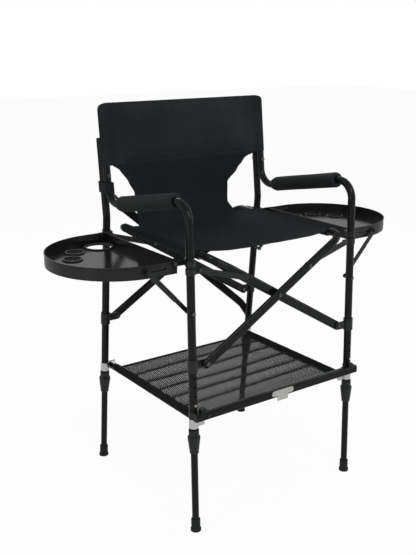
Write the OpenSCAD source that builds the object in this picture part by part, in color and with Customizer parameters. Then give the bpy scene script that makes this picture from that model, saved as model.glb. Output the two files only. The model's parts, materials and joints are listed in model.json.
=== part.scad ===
// Tall folding make-up chair: two tube side frames joined by a pair of crossed
// U frames, with a sling seat, a padded back band, a mesh footrest, two
// fold-up side trays and four telescopic feet.
// The floor is z = 0, the chair faces -Y, and X runs to the viewer's right.

/* [Side frames] */
// Spacing of the two side frames, centre to centre
frame_width = 560; // [500:5:640]
// Spacing of the front and back feet along the floor
foot_depth = 521; // [480:5:560]
// Outer diameter of the side frame tubes
tube_d = 22; // [20:0.5:24]
// Wall of the side frame tubes
tube_wall = 1.2; // [1:0.1:1.4]
// Backward lean of the front legs, in degrees
front_lean = 1.5; // [0:0.1:3]
// Forward lean of the back legs, in degrees
back_lean = 5.4; // [4:0.1:7]
// Backward lean of the back legs and uprights above their bend, in degrees
upper_lean = 6; // [4:0.1:8]
// Height of the bend in the back legs
back_bend_z = 796; // [780:2:810]
// Height of the top of the back legs
back_leg_top = 1016; // [990:2:1040]
// Height of the top of the uprights, inside the back band
upright_top = 1104; // [1090:2:1120]
// Height of the arm where it meets the front leg line
arm_front_z = 909; // [890:1:930]
// Downward slope of the arm towards the back, in degrees
arm_slope = 10.5; // [6:0.5:13]
// Bend radius of the tubes
tube_bend = 50; // [45:1:55]

/* [Arm grips] */
// Outer diameter of the foam grips
grip_d = 44; // [38:1:46]
// Length of the foam grips
grip_length = 284; // [240:2:290]

/* [Telescopic feet] */
// Outer diameter of the inner leg tubes
leg_d = 19; // [17:0.5:19.2]
// Wall of the inner leg tubes
leg_wall = 1.2; // [1:0.1:1.4]
// Height of the lower end of the outer tubes
tube_bottom = 238; // [230:1:245]
// Height of the snap buttons
button_z = 370; // [362:1:376]
// Spacing of the adjusting holes
hole_pitch = 25.4; // [22:0.2:26]
// Number of adjusting holes above the button
spare_holes = 3; // [1:1:3]
// Diameter of the snap buttons
button_d = 6.4; // [5:0.1:7]
// Height of the rubber feet
foot_height = 36; // [30:1:42]
// Diameter of the rubber feet at the floor
foot_d = 29; // [27:0.5:34]

/* [Crossed frames] */
// Height of the lower pivots of the crossed frames
pivot_z = 479; // [470:1:484]
// Distance of the lower pivots from the leg centre line
pivot_reach = 40; // [34:1:44]
// Angle of the crossed bars above level, in degrees
cross_angle = 31; // [29:0.5:33]
// Distance of each seat rail inwards from the leg centre line
rail_inset = 54.56; // [50:0.02:60]
// Distance from the centre pivot to the rivet of the short link
link_rivet = 125; // [115:1:135]
// Width of the flattened bars
bar_w = 26; // [22:0.5:28]
// Thickness of the flattened bars
bar_t = 12; // [10:0.5:12]
// Bend radius between the seat rails and the bars
rail_bend = 32; // [28:1:34]
// Height of the outer pins of the short links
link_z = 730; // [724:1:736]
// Distance of those pins from the leg centre line
link_reach = 26.8; // [24:0.2:30]

/* [Seat and back] */
// Sag of the sling seat between its rails
seat_sag = 16; // [8:1:22]
// Depth of the sling from the front of its sleeves to its back edge
seat_depth = 332; // [300:2:340]
// Reach of its front edge in front of the sleeves
seat_overhang = 42; // [30:1:46]
// Height of the lower edge of the back band
band_bottom = 944; // [935:1:955]
// Height of the upper edge of the back band
band_top = 1118; // [1110:1:1130]
// Thickness of the padded middle of the back band
pad_t = 15; // [9:1:20]
// Width of the carry strap
strap_w = 25; // [20:1:28]

/* [Footrest] */
// Height of the centre of the front bar
bar_z = 343; // [340:1:346]
// Height of the section of the front bar
front_bar_h = 22; // [18:1:24]
// Depth of the section of the front bar
front_bar_t = 18; // [14:1:20]
// Height of the side rails of the footrest
rest_z = 318; // [316:1:319]
// Diameter of the side rails of the footrest
rest_rail_d = 19; // [16:0.5:20]
// Distance of the side rails from the leg centre line
rest_reach = 23; // [22:0.5:26]
// Net gaps across the footrest
net_across = 18; // [8:1:18]
// Net gaps from front to back
net_along = 16; // [8:1:16]

/* [Side trays] */
// Height of the tray rims
tray_top = 758; // [752:1:762]
// Height of the tray walls
tray_wall_h = 34; // [30:1:38]
// Thickness of the tray sheet
tray_t = 1.5; // [1:0.1:2]
// Reach of each tray from its straight side to its round end
tray_reach = 255; // [230:5:280]
// Distance of the tray hinge pins from the leg centre line
hinge_reach = 31; // [31:0.5:34]
// Height of the pivots of the tray stays on the legs
stay_z = 621; // [612:1:630]
// Distance from the tray hinge pins out to the stay pins at rest
stay_pin_reach = 83; // [78:1:88]
// Diameter of the large cup hole in a tray
cup_hole_d = 78; // [70:1:80]
// Diameter of the two small holes in a tray
jar_hole_d = 50; // [44:1:52]

/* [Hidden] */
$fn = 48;

// Clearances
fit_gap = 0.1;
run_gap = 0.3;
pin_d = 6;
pin_gap = 0.1;
head_r = 5.5;
head_t = 2;
cloth_t = 2.6;
band_cloth_t = 1.1;
sleeve_gap = 0.3;

// Side frame lines: y of each tube centre at a height
half_w = frame_width / 2;
tube_r = tube_d / 2;
bar_face_gap = 3.1;
front_bar_offset = tube_r + bar_face_gap + front_bar_t;
centre_shift = (front_bar_offset - foot_d / 2 - bar_z * tan(front_lean)) / 2;
front_foot_y = -foot_depth / 2 + centre_shift;
back_foot_y = foot_depth / 2 + centre_shift;
upright_gap = sleeve_gap + band_cloth_t + run_gap;
function front_y(z) = front_foot_y + z * tan(front_lean);
function back_y(z) = back_foot_y - z * tan(back_lean);
function upper_y(z) = back_y(back_bend_z) + (z - back_bend_z) * tan(upper_lean);
function upright_y(z) = upper_y(z) - (tube_d + upright_gap) / cos(upper_lean);

// The arm runs from the front leg line down to the upright line
arm_front_y = front_y(arm_front_z);
arm_rear_y = (upright_y(arm_front_z) + arm_front_y * tan(arm_slope) * tan(upper_lean))
    / (1 + tan(arm_slope) * tan(upper_lean));
arm_rear_z = arm_front_z - (arm_rear_y - arm_front_y) * tan(arm_slope);
front_path = [
    [front_y(tube_bottom), tube_bottom],
    [arm_front_y, arm_front_z],
    [arm_rear_y, arm_rear_z],
    [upright_y(upright_top), upright_top]
];
back_path = [
    [back_y(tube_bottom), tube_bottom],
    [back_y(back_bend_z), back_bend_z],
    [upper_y(back_leg_top), back_leg_top]
];
frame_bolt_z = 918;

// Crossed frames
cross_half = half_w - pivot_reach;
cross_dist = cross_half / cos(cross_angle);
cross_z = pivot_z + cross_half * tan(cross_angle);
rail_x = half_w - rail_inset;
bar_length = (rail_x + cross_half) / cos(cross_angle);
rail_z = pivot_z + bar_length * sin(cross_angle);
rail_r = tube_r;
tongue_t = 5;
bar_off = tongue_t / 2 + run_gap + bar_t / 2;
front_plane = front_y(pivot_z);
rear_plane = back_y(pivot_z);
a_front_y = front_plane - bar_off;
b_front_y = front_plane + bar_off;
a_rear_y = rear_plane + bar_off;
b_rear_y = rear_plane - bar_off;
link_t = 3;
link_w = 16;
rivet_x = (cross_dist + link_rivet) * cos(cross_angle) - cross_half;
rivet_z = pivot_z + (cross_dist + link_rivet) * sin(cross_angle);
link_x = half_w - link_reach;
link_span = norm([link_x - rivet_x, link_z - rivet_z]);
link_angle = atan2(link_z - rivet_z, link_x - rivet_x);
tab_t = 3;

// Trays and stays
stay_t = 3;
stay_w = 14;
stay_spacer = 5.5;
ear_t = 3;
ear_gap = 3.7;
wall_gap = 1.3;
stay_front_y = front_y(stay_z) + tube_r + stay_spacer;
tray_front_y = stay_front_y + stay_t + ear_gap + ear_t + wall_gap;
stay_rear_y = back_y(tray_top + 34) - tube_r - wall_gap;
tray_rear_y = stay_rear_y - stay_t - ear_gap - ear_t - wall_gap;
hinge_x = half_w + hinge_reach;
hinge_z = tray_top - 7;
hinge_edge = 8;
tray_x = hinge_x - hinge_edge;
tray_r = (tray_rear_y - tray_front_y) / 2;
tray_mid_y = (tray_front_y + tray_rear_y) / 2;
tray_round_x = tray_x + tray_reach - tray_r;
tray_bottom = tray_top - tray_wall_h;
tray_floor = tray_bottom + 9;
slot_z = tray_top - 16;
slot_h = 6;
stay_pin_x = hinge_x + stay_pin_reach;
stay_span = norm([stay_pin_x - half_w, slot_z - stay_z]);
stay_angle = atan2(slot_z - stay_z, stay_pin_x - half_w);
slot_length = 60;
plate_t = 1;
cup_at = [tray_x + 48, tray_rear_y - 58];
jar_at = [[tray_x + 132, tray_rear_y - 76], [tray_x + 170, tray_rear_y - 138]];

// Footrest
bar_y = front_y(bar_z) - tube_r - bar_face_gap - front_bar_t / 2;
bar_pivot_x = half_w - 28;
bar_end_x = half_w + 11;
bar_ear_r = 4.4;
bar_ear_t = 7.7;
bar_hinge_z = bar_z - front_bar_h / 2 - 0.5 - bar_ear_r;
rest_rail_x = half_w - rest_reach;
rest_front_y = front_y(rest_z) + 2.5;
rest_rear_y = back_y(rest_z) - 2.5;
hinge_plate_w = 78;

// Soft parts
sleeve_r = rail_r + sleeve_gap + cloth_t;
sling_front = b_front_y + rail_bend + 1;
sling_back = b_rear_y - rail_bend - 1;
seat_back_y = sling_front + seat_depth;
band_sleeve_r = tube_r + sleeve_gap + band_cloth_t;

// Direction and bend helpers for tubes that lie in one upright plane.
// A path point is [y, z].
function unit(v) = v / norm(v);
function turn(a, b) = atan2(a[0] * b[1] - a[1] * b[0], a * b);
function left_of(v) = [-v[1], v[0]];

// Plane of a bend: maps the XY drawing plane onto YZ
module in_yz() rotate([90, 0, 90]) children();

// Tube section as a flat ring
module tube_section(d, wall) {
    difference() {
        circle(d = d);
        circle(d = d - 2 * wall);
    }
}

// Hollow tube along a path, with arcs of radius r at its corners. The straight
// lengths lap a little over the arcs, which are a hair thinner.
module bent_tube(path, r, d, wall) {
    last = len(path) - 1;
    dirs = [for (i = [0 : last - 1]) unit(path[i + 1] - path[i])];
    turns = [for (i = [1 : last - 1]) turn(dirs[i - 1], dirs[i])];
    cut = [for (t = turns) r * tan(abs(t) / 2)];
    lap = 1.5;
    step = 0.12;
    in_yz() {
        for (i = [0 : last - 1]) {
            p = path[i] + dirs[i] * (i == 0 ? 0 : cut[i - 1] - lap);
            q = path[i + 1] - dirs[i] * (i == last - 1 ? 0 : cut[i] - lap);
            translate([p[0], p[1]]) rotate(atan2(q[1] - p[1], q[0] - p[0]))
                rotate([0, 90, 0]) linear_extrude(norm(q - p)) tube_section(d, wall);
        }
        for (i = [1 : last - 1]) {
            s = path[i] - dirs[i - 1] * cut[i - 1];
            side = turns[i - 1] > 0 ? 1 : -1;
            centre = s + left_of(dirs[i - 1]) * r * side;
            from = atan2(s[1] - centre[1], s[0] - centre[0]);
            translate([centre[0], centre[1]])
                rotate(side > 0 ? from : from + turns[i - 1])
                    rotate_extrude(angle = abs(turns[i - 1]))
                        translate([r, 0]) tube_section(d - 2 * step, wall - 2 * step);
        }
    }
}

// Children drawn for the right side frame appear on the left one
module on_left() mirror([1, 0, 0]) children();

// Local frame of a leg: z runs up the leg from the floor
module at_leg(fore) {
    translate([half_w, fore ? front_foot_y : back_foot_y, 0])
        rotate([fore ? -front_lean : back_lean, 0, 0]) children();
}
function along(z, fore) = z / cos(fore ? front_lean : back_lean);

// A pin along Y from y0 to y1, with a round head at each end that is asked for
module y_pin(x, z, y0, y1, head0 = true, head1 = true) {
    translate([x, y0, z]) rotate([-90, 0, 0]) {
        cylinder(d = pin_d, h = y1 - y0);
        if (head0) translate([0, 0, -head_t]) cylinder(r = head_r, h = head_t);
        if (head1) translate([0, 0, y1 - y0]) cylinder(r = head_r, h = head_t);
    }
}
// A hole along Y
module y_hole(x, z, y0, y1, d = pin_d + 2 * pin_gap) {
    translate([x, y0, z]) rotate([-90, 0, 0]) cylinder(d = d, h = y1 - y0);
}

// Side frame tubes
module side_front_tube() {
    color("#16181a") difference() {
        translate([half_w, 0, 0]) bent_tube(front_path, tube_bend, tube_d, tube_wall);
        leg_holes(true);
        y_hole(half_w, stay_z, front_y(stay_z) - tube_d, front_y(stay_z) + tube_d);
        y_hole(half_w, frame_bolt_z, upright_y(frame_bolt_z) - tube_d,
            upright_y(frame_bolt_z) + tube_d);
    }
}
module side_back_tube() {
    color("#16181a") difference() {
        translate([half_w, 0, 0]) bent_tube(back_path, tube_bend, tube_d, tube_wall);
        leg_holes(false);
        y_hole(half_w, stay_z, back_y(stay_z) - tube_d, back_y(stay_z) + tube_d);
        y_hole(half_w, frame_bolt_z, upper_y(frame_bolt_z) - tube_d,
            upper_y(frame_bolt_z) + tube_d);
    }
}

// Holes for the snap button, on the outer face of a leg tube
module leg_holes(fore) {
    at_leg(fore)
        for (k = [0 : spare_holes])
            translate([0, 0, along(button_z, fore) + k * hole_pitch])
                rotate([fore ? 90 : -90, 0, 0])
                    cylinder(d = button_d + 4 * pin_gap, h = tube_d);
}

// Foam grip round the straight part of the arm
module side_arm_grip() {
    arm_dir = unit(front_path[2] - front_path[1]);
    arm_mid = (front_path[1] + front_path[2]) / 2;
    start = arm_mid - arm_dir * (grip_length / 2 + 1);
    bore_r = tube_r + fit_gap;
    lip = 3;
    taper = 9;
    color("#1d2022") translate([half_w, start[0], start[1]])
        rotate([-90 - arm_slope, 0, 0])
            rotate_extrude() polygon([
                [bore_r, 0], [grip_d / 2 - lip, 0], [grip_d / 2, lip],
                [grip_d / 2, grip_length - taper],
                [grip_d / 2 - taper / 2, grip_length], [bore_r, grip_length]
            ]);
}

// Caps on the open tops of the back leg and the upright
module tube_cap(y, z, over) {
    cap_r = tube_r + over;
    translate([half_w, y, z]) rotate([-upper_lean, 0, 0]) rotate_extrude() polygon([
        [0, 0.2], [tube_r - tube_wall - fit_gap, 0.2], [tube_r - tube_wall - fit_gap, -12],
        [tube_r - tube_wall - 2, -12], [tube_r - tube_wall - 2, -2], [0, -2]
    ]);
    translate([half_w, y, z]) rotate([-upper_lean, 0, 0]) rotate_extrude() polygon([
        [0, 0.2], [cap_r, 0.2], [cap_r, 2.5], [cap_r - 2, 4.5], [0, 5.2]
    ]);
}
module side_end_caps() {
    color("#1a1c1e") {
        tube_cap(upper_y(back_leg_top), back_leg_top, -0.2);
        tube_cap(upright_y(upright_top), upright_top, -0.2);
    }
}

// Tapered collar on the lower end of an outer tube, open for the inner leg
module collar(fore) {
    seat_r = tube_r + fit_gap;
    throat_r = leg_d / 2 + run_gap;
    s0 = along(tube_bottom, fore);
    at_leg(fore) rotate_extrude() polygon([
        [throat_r, s0 - 6], [12, s0 - 6], [tube_r + 6, s0 + 36], [tube_r + 6, s0 + 42],
        [tube_r + 3, s0 + 44], [tube_r + 3, s0 + 62], [seat_r, s0 + 62],
        [seat_r, s0], [throat_r, s0]
    ]);
}
module side_collars() {
    color("#1f2224") {
        collar(true);
        collar(false);
    }
}

// Sleeve on a leg with a tongue that carries the lower pivot of a crossed bar
module hinge_sleeve(fore) {
    plane = fore ? front_plane : rear_plane;
    height = 35;
    tongue_h = 22;
    difference() {
        union() {
            at_leg(fore) translate([0, 0, along(pivot_z, fore) - height / 2])
                cylinder(r = tube_r + 3, h = height);
            translate([half_w - pivot_reach, plane - tongue_t / 2, pivot_z - tongue_h / 2])
                cube([pivot_reach - tube_r + 2, tongue_t, tongue_h]);
            translate([half_w - pivot_reach, plane - tongue_t / 2, pivot_z])
                rotate([-90, 0, 0]) cylinder(d = tongue_h, h = tongue_t);
        }
        at_leg(fore) cylinder(r = tube_r + fit_gap, h = 2 * pivot_z);
        y_hole(half_w - pivot_reach, pivot_z, plane - tongue_t, plane + tongue_t);
    }
}
module side_hinge_sleeves() {
    color("#1c1e20") {
        hinge_sleeve(true);
        hinge_sleeve(false);
    }
}

// Band round a leg at height z with a flat arm in the plane y0 to y1
module post_bracket(fore, z, x0, x1, y0, y1, height) {
    post_y = fore ? front_y(z) : back_y(z);
    web = 12;
    low = min(post_y, y0);
    high = max(post_y, y1);
    difference() {
        union() {
            at_leg(fore) translate([0, 0, along(z, fore) - height / 2])
                cylinder(r = tube_r + 2, h = height);
            translate([x0, y0, z - height / 2]) cube([x1 - x0, y1 - y0, height]);
            translate([half_w - web / 2, low, z - height / 2]) cube([web, high - low, height]);
        }
        at_leg(fore) cylinder(r = tube_r + fit_gap, h = 2 * z);
    }
}
link_tab_front = front_plane + link_t / 2 + run_gap;
link_tab_rear = rear_plane - link_t / 2 - run_gap - tab_t;
module side_post_brackets() {
    color("#1a1c1e") {
        difference() {
            post_bracket(true, link_z, link_x - 8, half_w, link_tab_front,
                link_tab_front + tab_t, 16);
            y_hole(link_x, link_z, link_tab_front - 1, link_tab_front + tab_t + 1);
        }
        difference() {
            post_bracket(false, link_z, link_x - 8, half_w, link_tab_rear,
                link_tab_rear + tab_t, 16);
            y_hole(link_x, link_z, link_tab_rear - 1, link_tab_rear + tab_t + 1);
        }
        tray_ear(true);
        tray_ear(false);
    }
}
ear_front_y = tray_front_y - wall_gap - ear_t;
ear_rear_y = tray_rear_y + wall_gap;
module tray_ear(fore) {
    y0 = fore ? ear_front_y : ear_rear_y;
    difference() {
        post_bracket(fore, hinge_z, half_w, hinge_x + 7, y0, y0 + ear_t, 14);
        y_hole(hinge_x, hinge_z, y0 - 1, y0 + ear_t + 1);
    }
}

// Bolts and pins that ride on a side frame
module side_frame_bolts(outer_frame) {
    bar_front = outer_frame ? a_front_y : b_front_y;
    bar_rear = outer_frame ? a_rear_y : b_rear_y;
    cross_x = half_w - pivot_reach;
    color("#3a3d40") {
        y_pin(cross_x, pivot_z, min(bar_front - bar_t / 2, front_plane - tongue_t / 2) - fit_gap,
            max(bar_front + bar_t / 2, front_plane + tongue_t / 2) + fit_gap);
        y_pin(cross_x, pivot_z, min(bar_rear - bar_t / 2, rear_plane - tongue_t / 2) - fit_gap,
            max(bar_rear + bar_t / 2, rear_plane + tongue_t / 2) + fit_gap);
        translate([link_x, link_tab_front + tab_t, link_z]) rotate([90, 0, 0])
            cylinder(d = pin_d, h = link_t + run_gap + tab_t);
        translate([link_x, link_tab_rear, link_z]) rotate([-90, 0, 0])
            cylinder(d = pin_d, h = link_t + run_gap + tab_t);
        y_pin(half_w, stay_z, front_y(stay_z) - tube_r, stay_front_y + stay_t + fit_gap);
        spacer(stay_z, front_y(stay_z) + tube_r + 0.5, stay_front_y - 0.2);
        y_pin(half_w, stay_z, stay_rear_y - stay_t - fit_gap, back_y(stay_z) + tube_r + 0.6);
        spacer(stay_z, stay_rear_y + 0.2, back_y(stay_z) - tube_r - 1.2);
        y_pin(half_w, frame_bolt_z, upright_y(frame_bolt_z) - tube_r - 0.8,
            upper_y(frame_bolt_z) + tube_r + 0.8);
        hinge_pin(ear_front_y - fit_gap, tray_front_y + tray_t + fit_gap);
        hinge_pin(tray_rear_y - tray_t - fit_gap, ear_rear_y + ear_t + fit_gap);
    }
}
module hinge_pin(y0, y1) {
    translate([hinge_x, y0, hinge_z]) rotate([-90, 0, 0]) {
        cylinder(d = pin_d, h = y1 - y0);
        translate([0, 0, -1.5]) cylinder(r = 4.5, h = 1.5);
        translate([0, 0, y1 - y0]) cylinder(r = 4.5, h = 1.5);
    }
}
module spacer(z, y0, y1) {
    translate([half_w, y0, z]) rotate([-90, 0, 0]) difference() {
        cylinder(r = 5, h = y1 - y0);
        translate([0, 0, -1]) cylinder(d = pin_d, h = y1 - y0 + 2);
    }
}

// Bright brackets that hold the footrest rails
module rest_bracket(fore) {
    height = 26;
    plate = 3;
    post_y = fore ? front_y(rest_z) : back_y(rest_z);
    inward = fore ? 1 : -1;
    prong = 26;
    rail_r_out = rest_rail_d / 2;
    difference() {
        union() {
            at_leg(fore) translate([0, 0, along(rest_z, fore) - height / 2])
                cylinder(r = tube_r + 1.5, h = height);
            translate([rest_rail_x - rail_r_out - 2, post_y - plate / 2, rest_z - height / 2])
                cube([half_w - rest_rail_x + rail_r_out + 2, plate, height]);
            for (side = [-1, 1])
                translate([rest_rail_x - 5, min(post_y, post_y + inward * prong),
                    rest_z + side * (rail_r_out + 1.1) - 0.8])
                    cube([10, prong, 1.6]);
        }
        at_leg(fore) cylinder(r = tube_r + fit_gap, h = 2 * rest_z);
        translate([rest_rail_x, post_y - plate, rest_z]) rotate([-90, 0, 0])
            cylinder(d = pin_d, h = 2 * plate);
    }
}
// Flat hanger behind the front bar, with the pivot of its half
module bar_hanger(pinned) {
    plate_h = 20;
    bar_back = bar_y + front_bar_t / 2;
    y0 = bar_back + run_gap;
    y1 = front_y(bar_z) - tube_r * 0.6;
    difference() {
        union() {
            at_leg(true) translate([0, 0, along(bar_z, true) - 9])
                cylinder(r = tube_r + 1.8, h = 18);
            translate([bar_pivot_x - 9, y0, bar_z - plate_h / 2])
                cube([half_w - bar_pivot_x + 14, 2.4, plate_h]);
            translate([half_w - 7, y0, bar_z - plate_h / 2]) cube([14, y1 - y0, plate_h]);
        }
        at_leg(true) cylinder(r = tube_r + fit_gap, h = 2 * bar_z);
        at_leg(true) translate([0, 0, along(button_z, true)]) rotate([90, 0, 0])
            cylinder(d = button_d + 6, h = 2 * tube_d);
    }
    if (pinned)
        translate([bar_pivot_x, y0 + 1, bar_z]) rotate([90, 0, 0]) {
            cylinder(d = pin_d, h = front_bar_t + run_gap + 1 + fit_gap);
            translate([0, 0, front_bar_t + run_gap + 1 + fit_gap])
                cylinder(r = head_r, h = head_t);
        }
}
module side_rest_brackets(pinned) {
    color("#b9bcbd") {
        rest_bracket(true);
        rest_bracket(false);
        bar_hanger(pinned);
    }
}
// Side rail of the footrest with a spigot at each end
module side_rest_rail() {
    color("#16181a") {
        translate([rest_rail_x, rest_front_y, rest_z]) rotate([-90, 0, 0]) difference() {
            cylinder(d = rest_rail_d, h = rest_rear_y - rest_front_y);
            translate([0, 0, 4]) cylinder(d = rest_rail_d - 2 * tube_wall,
                h = rest_rear_y - rest_front_y - 8);
        }
    }
}

// Section of a flattened bar, in its own XY plane: X across, Y thick
module bar_section(w, t) {
    square([w - t, t], center = true);
    for (side = [-1, 1]) translate([side * (w - t) / 2, 0]) circle(d = t);
}

// One U frame, drawn with its bars along +X from the lower pivots at x = 0.
// Each bar is a flattened tube that rounds out where it bends into the rail.
u_corner = bar_length - rail_bend;
u_blend = 46;
module u_solid(yf, yr) {
    d = 2 * rail_r;
    lap = 1.2;
    step = 0.2;
    translate([bar_length, yf + rail_bend - lap, 0]) rotate([-90, 0, 0])
        cylinder(d = d, h = yr - yf - 2 * rail_bend + 2 * lap);
    for (end = [0, 1]) {
        y = end == 0 ? yf : yr;
        flip = end == 0 ? 1 : -1;
        translate([u_corner, y + flip * rail_bend, 0])
            rotate(end == 0 ? -90 : 0)
                rotate_extrude(angle = 90) translate([rail_bend, 0]) circle(d = d - 2 * step);
        hull() {
            translate([u_corner + lap, y, 0]) rotate([0, -90, 0])
                cylinder(d = d, h = 0.1, $fn = 48);
            translate([u_corner - u_blend - lap, y, 0]) rotate([0, -90, 0]) linear_extrude(0.1)
                bar_section(bar_w - 3 * step, bar_t - 3 * step, $fn = 48);
        }
        translate([u_corner - u_blend, y, 0]) rotate([0, -90, 0])
            linear_extrude(u_corner - u_blend + 13) bar_section(bar_w, bar_t);
    }
}
// Hollows of the bars and of the rail
module u_hollow(yf, yr) {
    wall = 1.5;
    d = 2 * (rail_r - wall);
    translate([bar_length, yf + rail_bend - 1.2, 0]) rotate([-90, 0, 0])
        cylinder(d = d, h = yr - yf - 2 * rail_bend + 2.4);
    for (y = [yf, yr])
        translate([u_corner - u_blend - 2, y, 0]) rotate([0, -90, 0])
            linear_extrude(u_corner - u_blend - 10)
                bar_section(bar_w - 2 * wall, bar_t - 2 * wall);
}
module u_frame(yf, yr) {
    difference() {
        intersection() {
            u_solid(yf, yr);
            union() {
                translate([0, yf - bar_w, -2 * bar_w])
                    cube([2 * bar_length, yr - yf + 2 * bar_w, 4 * bar_w]);
                translate([2, yf - bar_w, 0]) rotate([-90, 0, 0])
                    cylinder(r = bar_w / 2 + 2, h = yr - yf + 2 * bar_w);
            }
        }
        u_hollow(yf, yr);
        for (x = [0, cross_dist, cross_dist + link_rivet])
            translate([x, yf - bar_w, 0]) rotate([-90, 0, 0])
                cylinder(d = pin_d + 2 * pin_gap, h = yr - yf + 2 * bar_w);
    }
}
module scissor_a_frame() {
    color("#191b1d") translate([-cross_half, 0, pivot_z]) rotate([0, -cross_angle, 0])
        u_frame(a_front_y, a_rear_y);
}
module scissor_b_frame() {
    color("#191b1d") on_left() translate([-cross_half, 0, pivot_z])
        rotate([0, -cross_angle, 0]) u_frame(b_front_y, b_rear_y);
}

// Centre bolts with their spacers, and the link rivets of the outer frame
module scissor_a_bolts() {
    color("#3a3d40") {
        y_pin(0, cross_z, a_front_y - bar_t / 2 - fit_gap, b_front_y + bar_t / 2 + fit_gap);
        y_pin(0, cross_z, b_rear_y - bar_t / 2 - fit_gap, a_rear_y + bar_t / 2 + fit_gap);
        for (y = [front_plane, rear_plane])
            translate([0, y - tongue_t / 2, cross_z]) rotate([-90, 0, 0])
                cylinder(r = 7, h = tongue_t);
        y_pin(rivet_x, rivet_z, a_front_y - bar_t / 2 - fit_gap,
            a_front_y + bar_t / 2, true, false);
        y_pin(rivet_x, rivet_z, a_rear_y - bar_t / 2,
            a_rear_y + bar_t / 2 + fit_gap, false, true);
    }
}
module scissor_b_rivets() {
    color("#3a3d40") {
        y_pin(-rivet_x, rivet_z, b_front_y - bar_t / 2, b_front_y + bar_t / 2 + fit_gap,
            false, true);
        y_pin(-rivet_x, rivet_z, b_rear_y - bar_t / 2 - fit_gap, b_rear_y + bar_t / 2,
            true, false);
    }
}

// Flat link from a post pin to the rivet of a crossed bar
module flat_link(plane) {
    color("#1c1e20") translate([link_x, plane, link_z]) rotate([0, 180 - link_angle, 0])
        rotate([90, 0, 0]) linear_extrude(link_t, center = true) difference() {
            union() {
                translate([0, -link_w / 2]) square([link_span, link_w]);
                circle(d = link_w);
                translate([link_span, 0]) circle(d = link_w);
            }
            circle(d = pin_d + 2 * pin_gap);
        }
}
module front_right_link() flat_link(front_plane);
module rear_right_link() flat_link(rear_plane);
module front_left_link() on_left() flat_link(front_plane);
module rear_left_link() on_left() flat_link(rear_plane);

// Front bar of the footrest: half of it, from the middle to past the leg
module bar_half(open_end) {
    groove = 0.8;
    color("#17191b") difference() {
        union() {
            translate([0.2, bar_y, bar_z]) rotate([90, 0, 90])
                linear_extrude(bar_end_x - 0.2) rounded_section();
            translate([half_w - 20, bar_y - 7, bar_z + front_bar_h / 2 - 1]) cube([15, 13, 12]);
            if (open_end) bar_ear();
        }
        for (side = [-1, 1])
            translate([-1, bar_y - front_bar_t / 2 - 1, bar_z + side * 5 - 0.6])
                cube([bar_end_x + 2, 1 + groove, 1.2]);
        y_hole(bar_pivot_x, bar_z, bar_y - front_bar_t, bar_y + front_bar_t);
        if (open_end)
            y_hole(0, bar_hinge_z, bar_y - front_bar_t, bar_y + front_bar_t);
    }
    if (open_end)
        color("#3a3d40") translate([bar_pivot_x, bar_y + front_bar_t / 2, bar_z])
            rotate([90, 0, 0]) {
                cylinder(d = pin_d + 2 * pin_gap, h = front_bar_t);
                translate([0, 0, front_bar_t]) cylinder(r = head_r, h = head_t);
            }
}
// Ear under the inner end of the right half, for the pin of the middle hinge
module bar_ear() {
    ear_y = bar_y - front_bar_t / 2 + run_gap;
    translate([0, ear_y, bar_hinge_z]) rotate([-90, 0, 0])
        cylinder(r = bar_ear_r, h = bar_ear_t);
    translate([0.2, ear_y, bar_hinge_z]) cube([9, bar_ear_t, bar_ear_r + 5]);
}
module rounded_section() {
    r = 4;
    w = front_bar_t - 2 * r;
    h = front_bar_h - 2 * r;
    square([front_bar_t, h], center = true);
    square([w, front_bar_h], center = true);
    for (a = [-1, 1], b = [-1, 1]) translate([a * w / 2, b * h / 2]) circle(r = r);
}
module footrest_bar_right() bar_half(true);
module footrest_bar_left() on_left() bar_half(false);

// Bright plate on the left half of the front bar, with the pin of its middle
// hinge on a tab below: the bar folds upwards and locks when it is stepped on
module footrest_hinge_plate() {
    face = bar_y - front_bar_t / 2;
    plate = 1.6;
    lobe_d = 16;
    lobe_up = 3;
    body_w = 38;
    pin_end = face + run_gap + bar_ear_t + fit_gap;
    color("#b9bcbd") {
        translate([0, face - plate - 0.2, bar_z]) rotate([-90, 0, 0])
            linear_extrude(plate) {
                translate([-(hinge_plate_w - lobe_d) / 2, -lobe_up - lobe_d / 2])
                    square([hinge_plate_w - lobe_d, lobe_d]);
                for (side = [-1, 1])
                    translate([side * (hinge_plate_w - lobe_d) / 2, -lobe_up]) circle(d = lobe_d);
                translate([-body_w / 2, 0])
                    square([body_w, bar_z - bar_hinge_z + bar_ear_r]);
            }
        for (side = [-1, 1])
            translate([side * (hinge_plate_w / 2 - 10), face - plate - 1.8, bar_z + lobe_up])
                rotate([-90, 0, 0]) cylinder(r = 4, h = 1.6);
        translate([0, face - 1.2, bar_hinge_z]) rotate([-90, 0, 0])
            cylinder(d = pin_d, h = pin_end - face + 1.2);
        translate([0, pin_end, bar_hinge_z]) rotate([-90, 0, 0])
            cylinder(r = bar_ear_r, h = head_t);
    }
}

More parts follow.
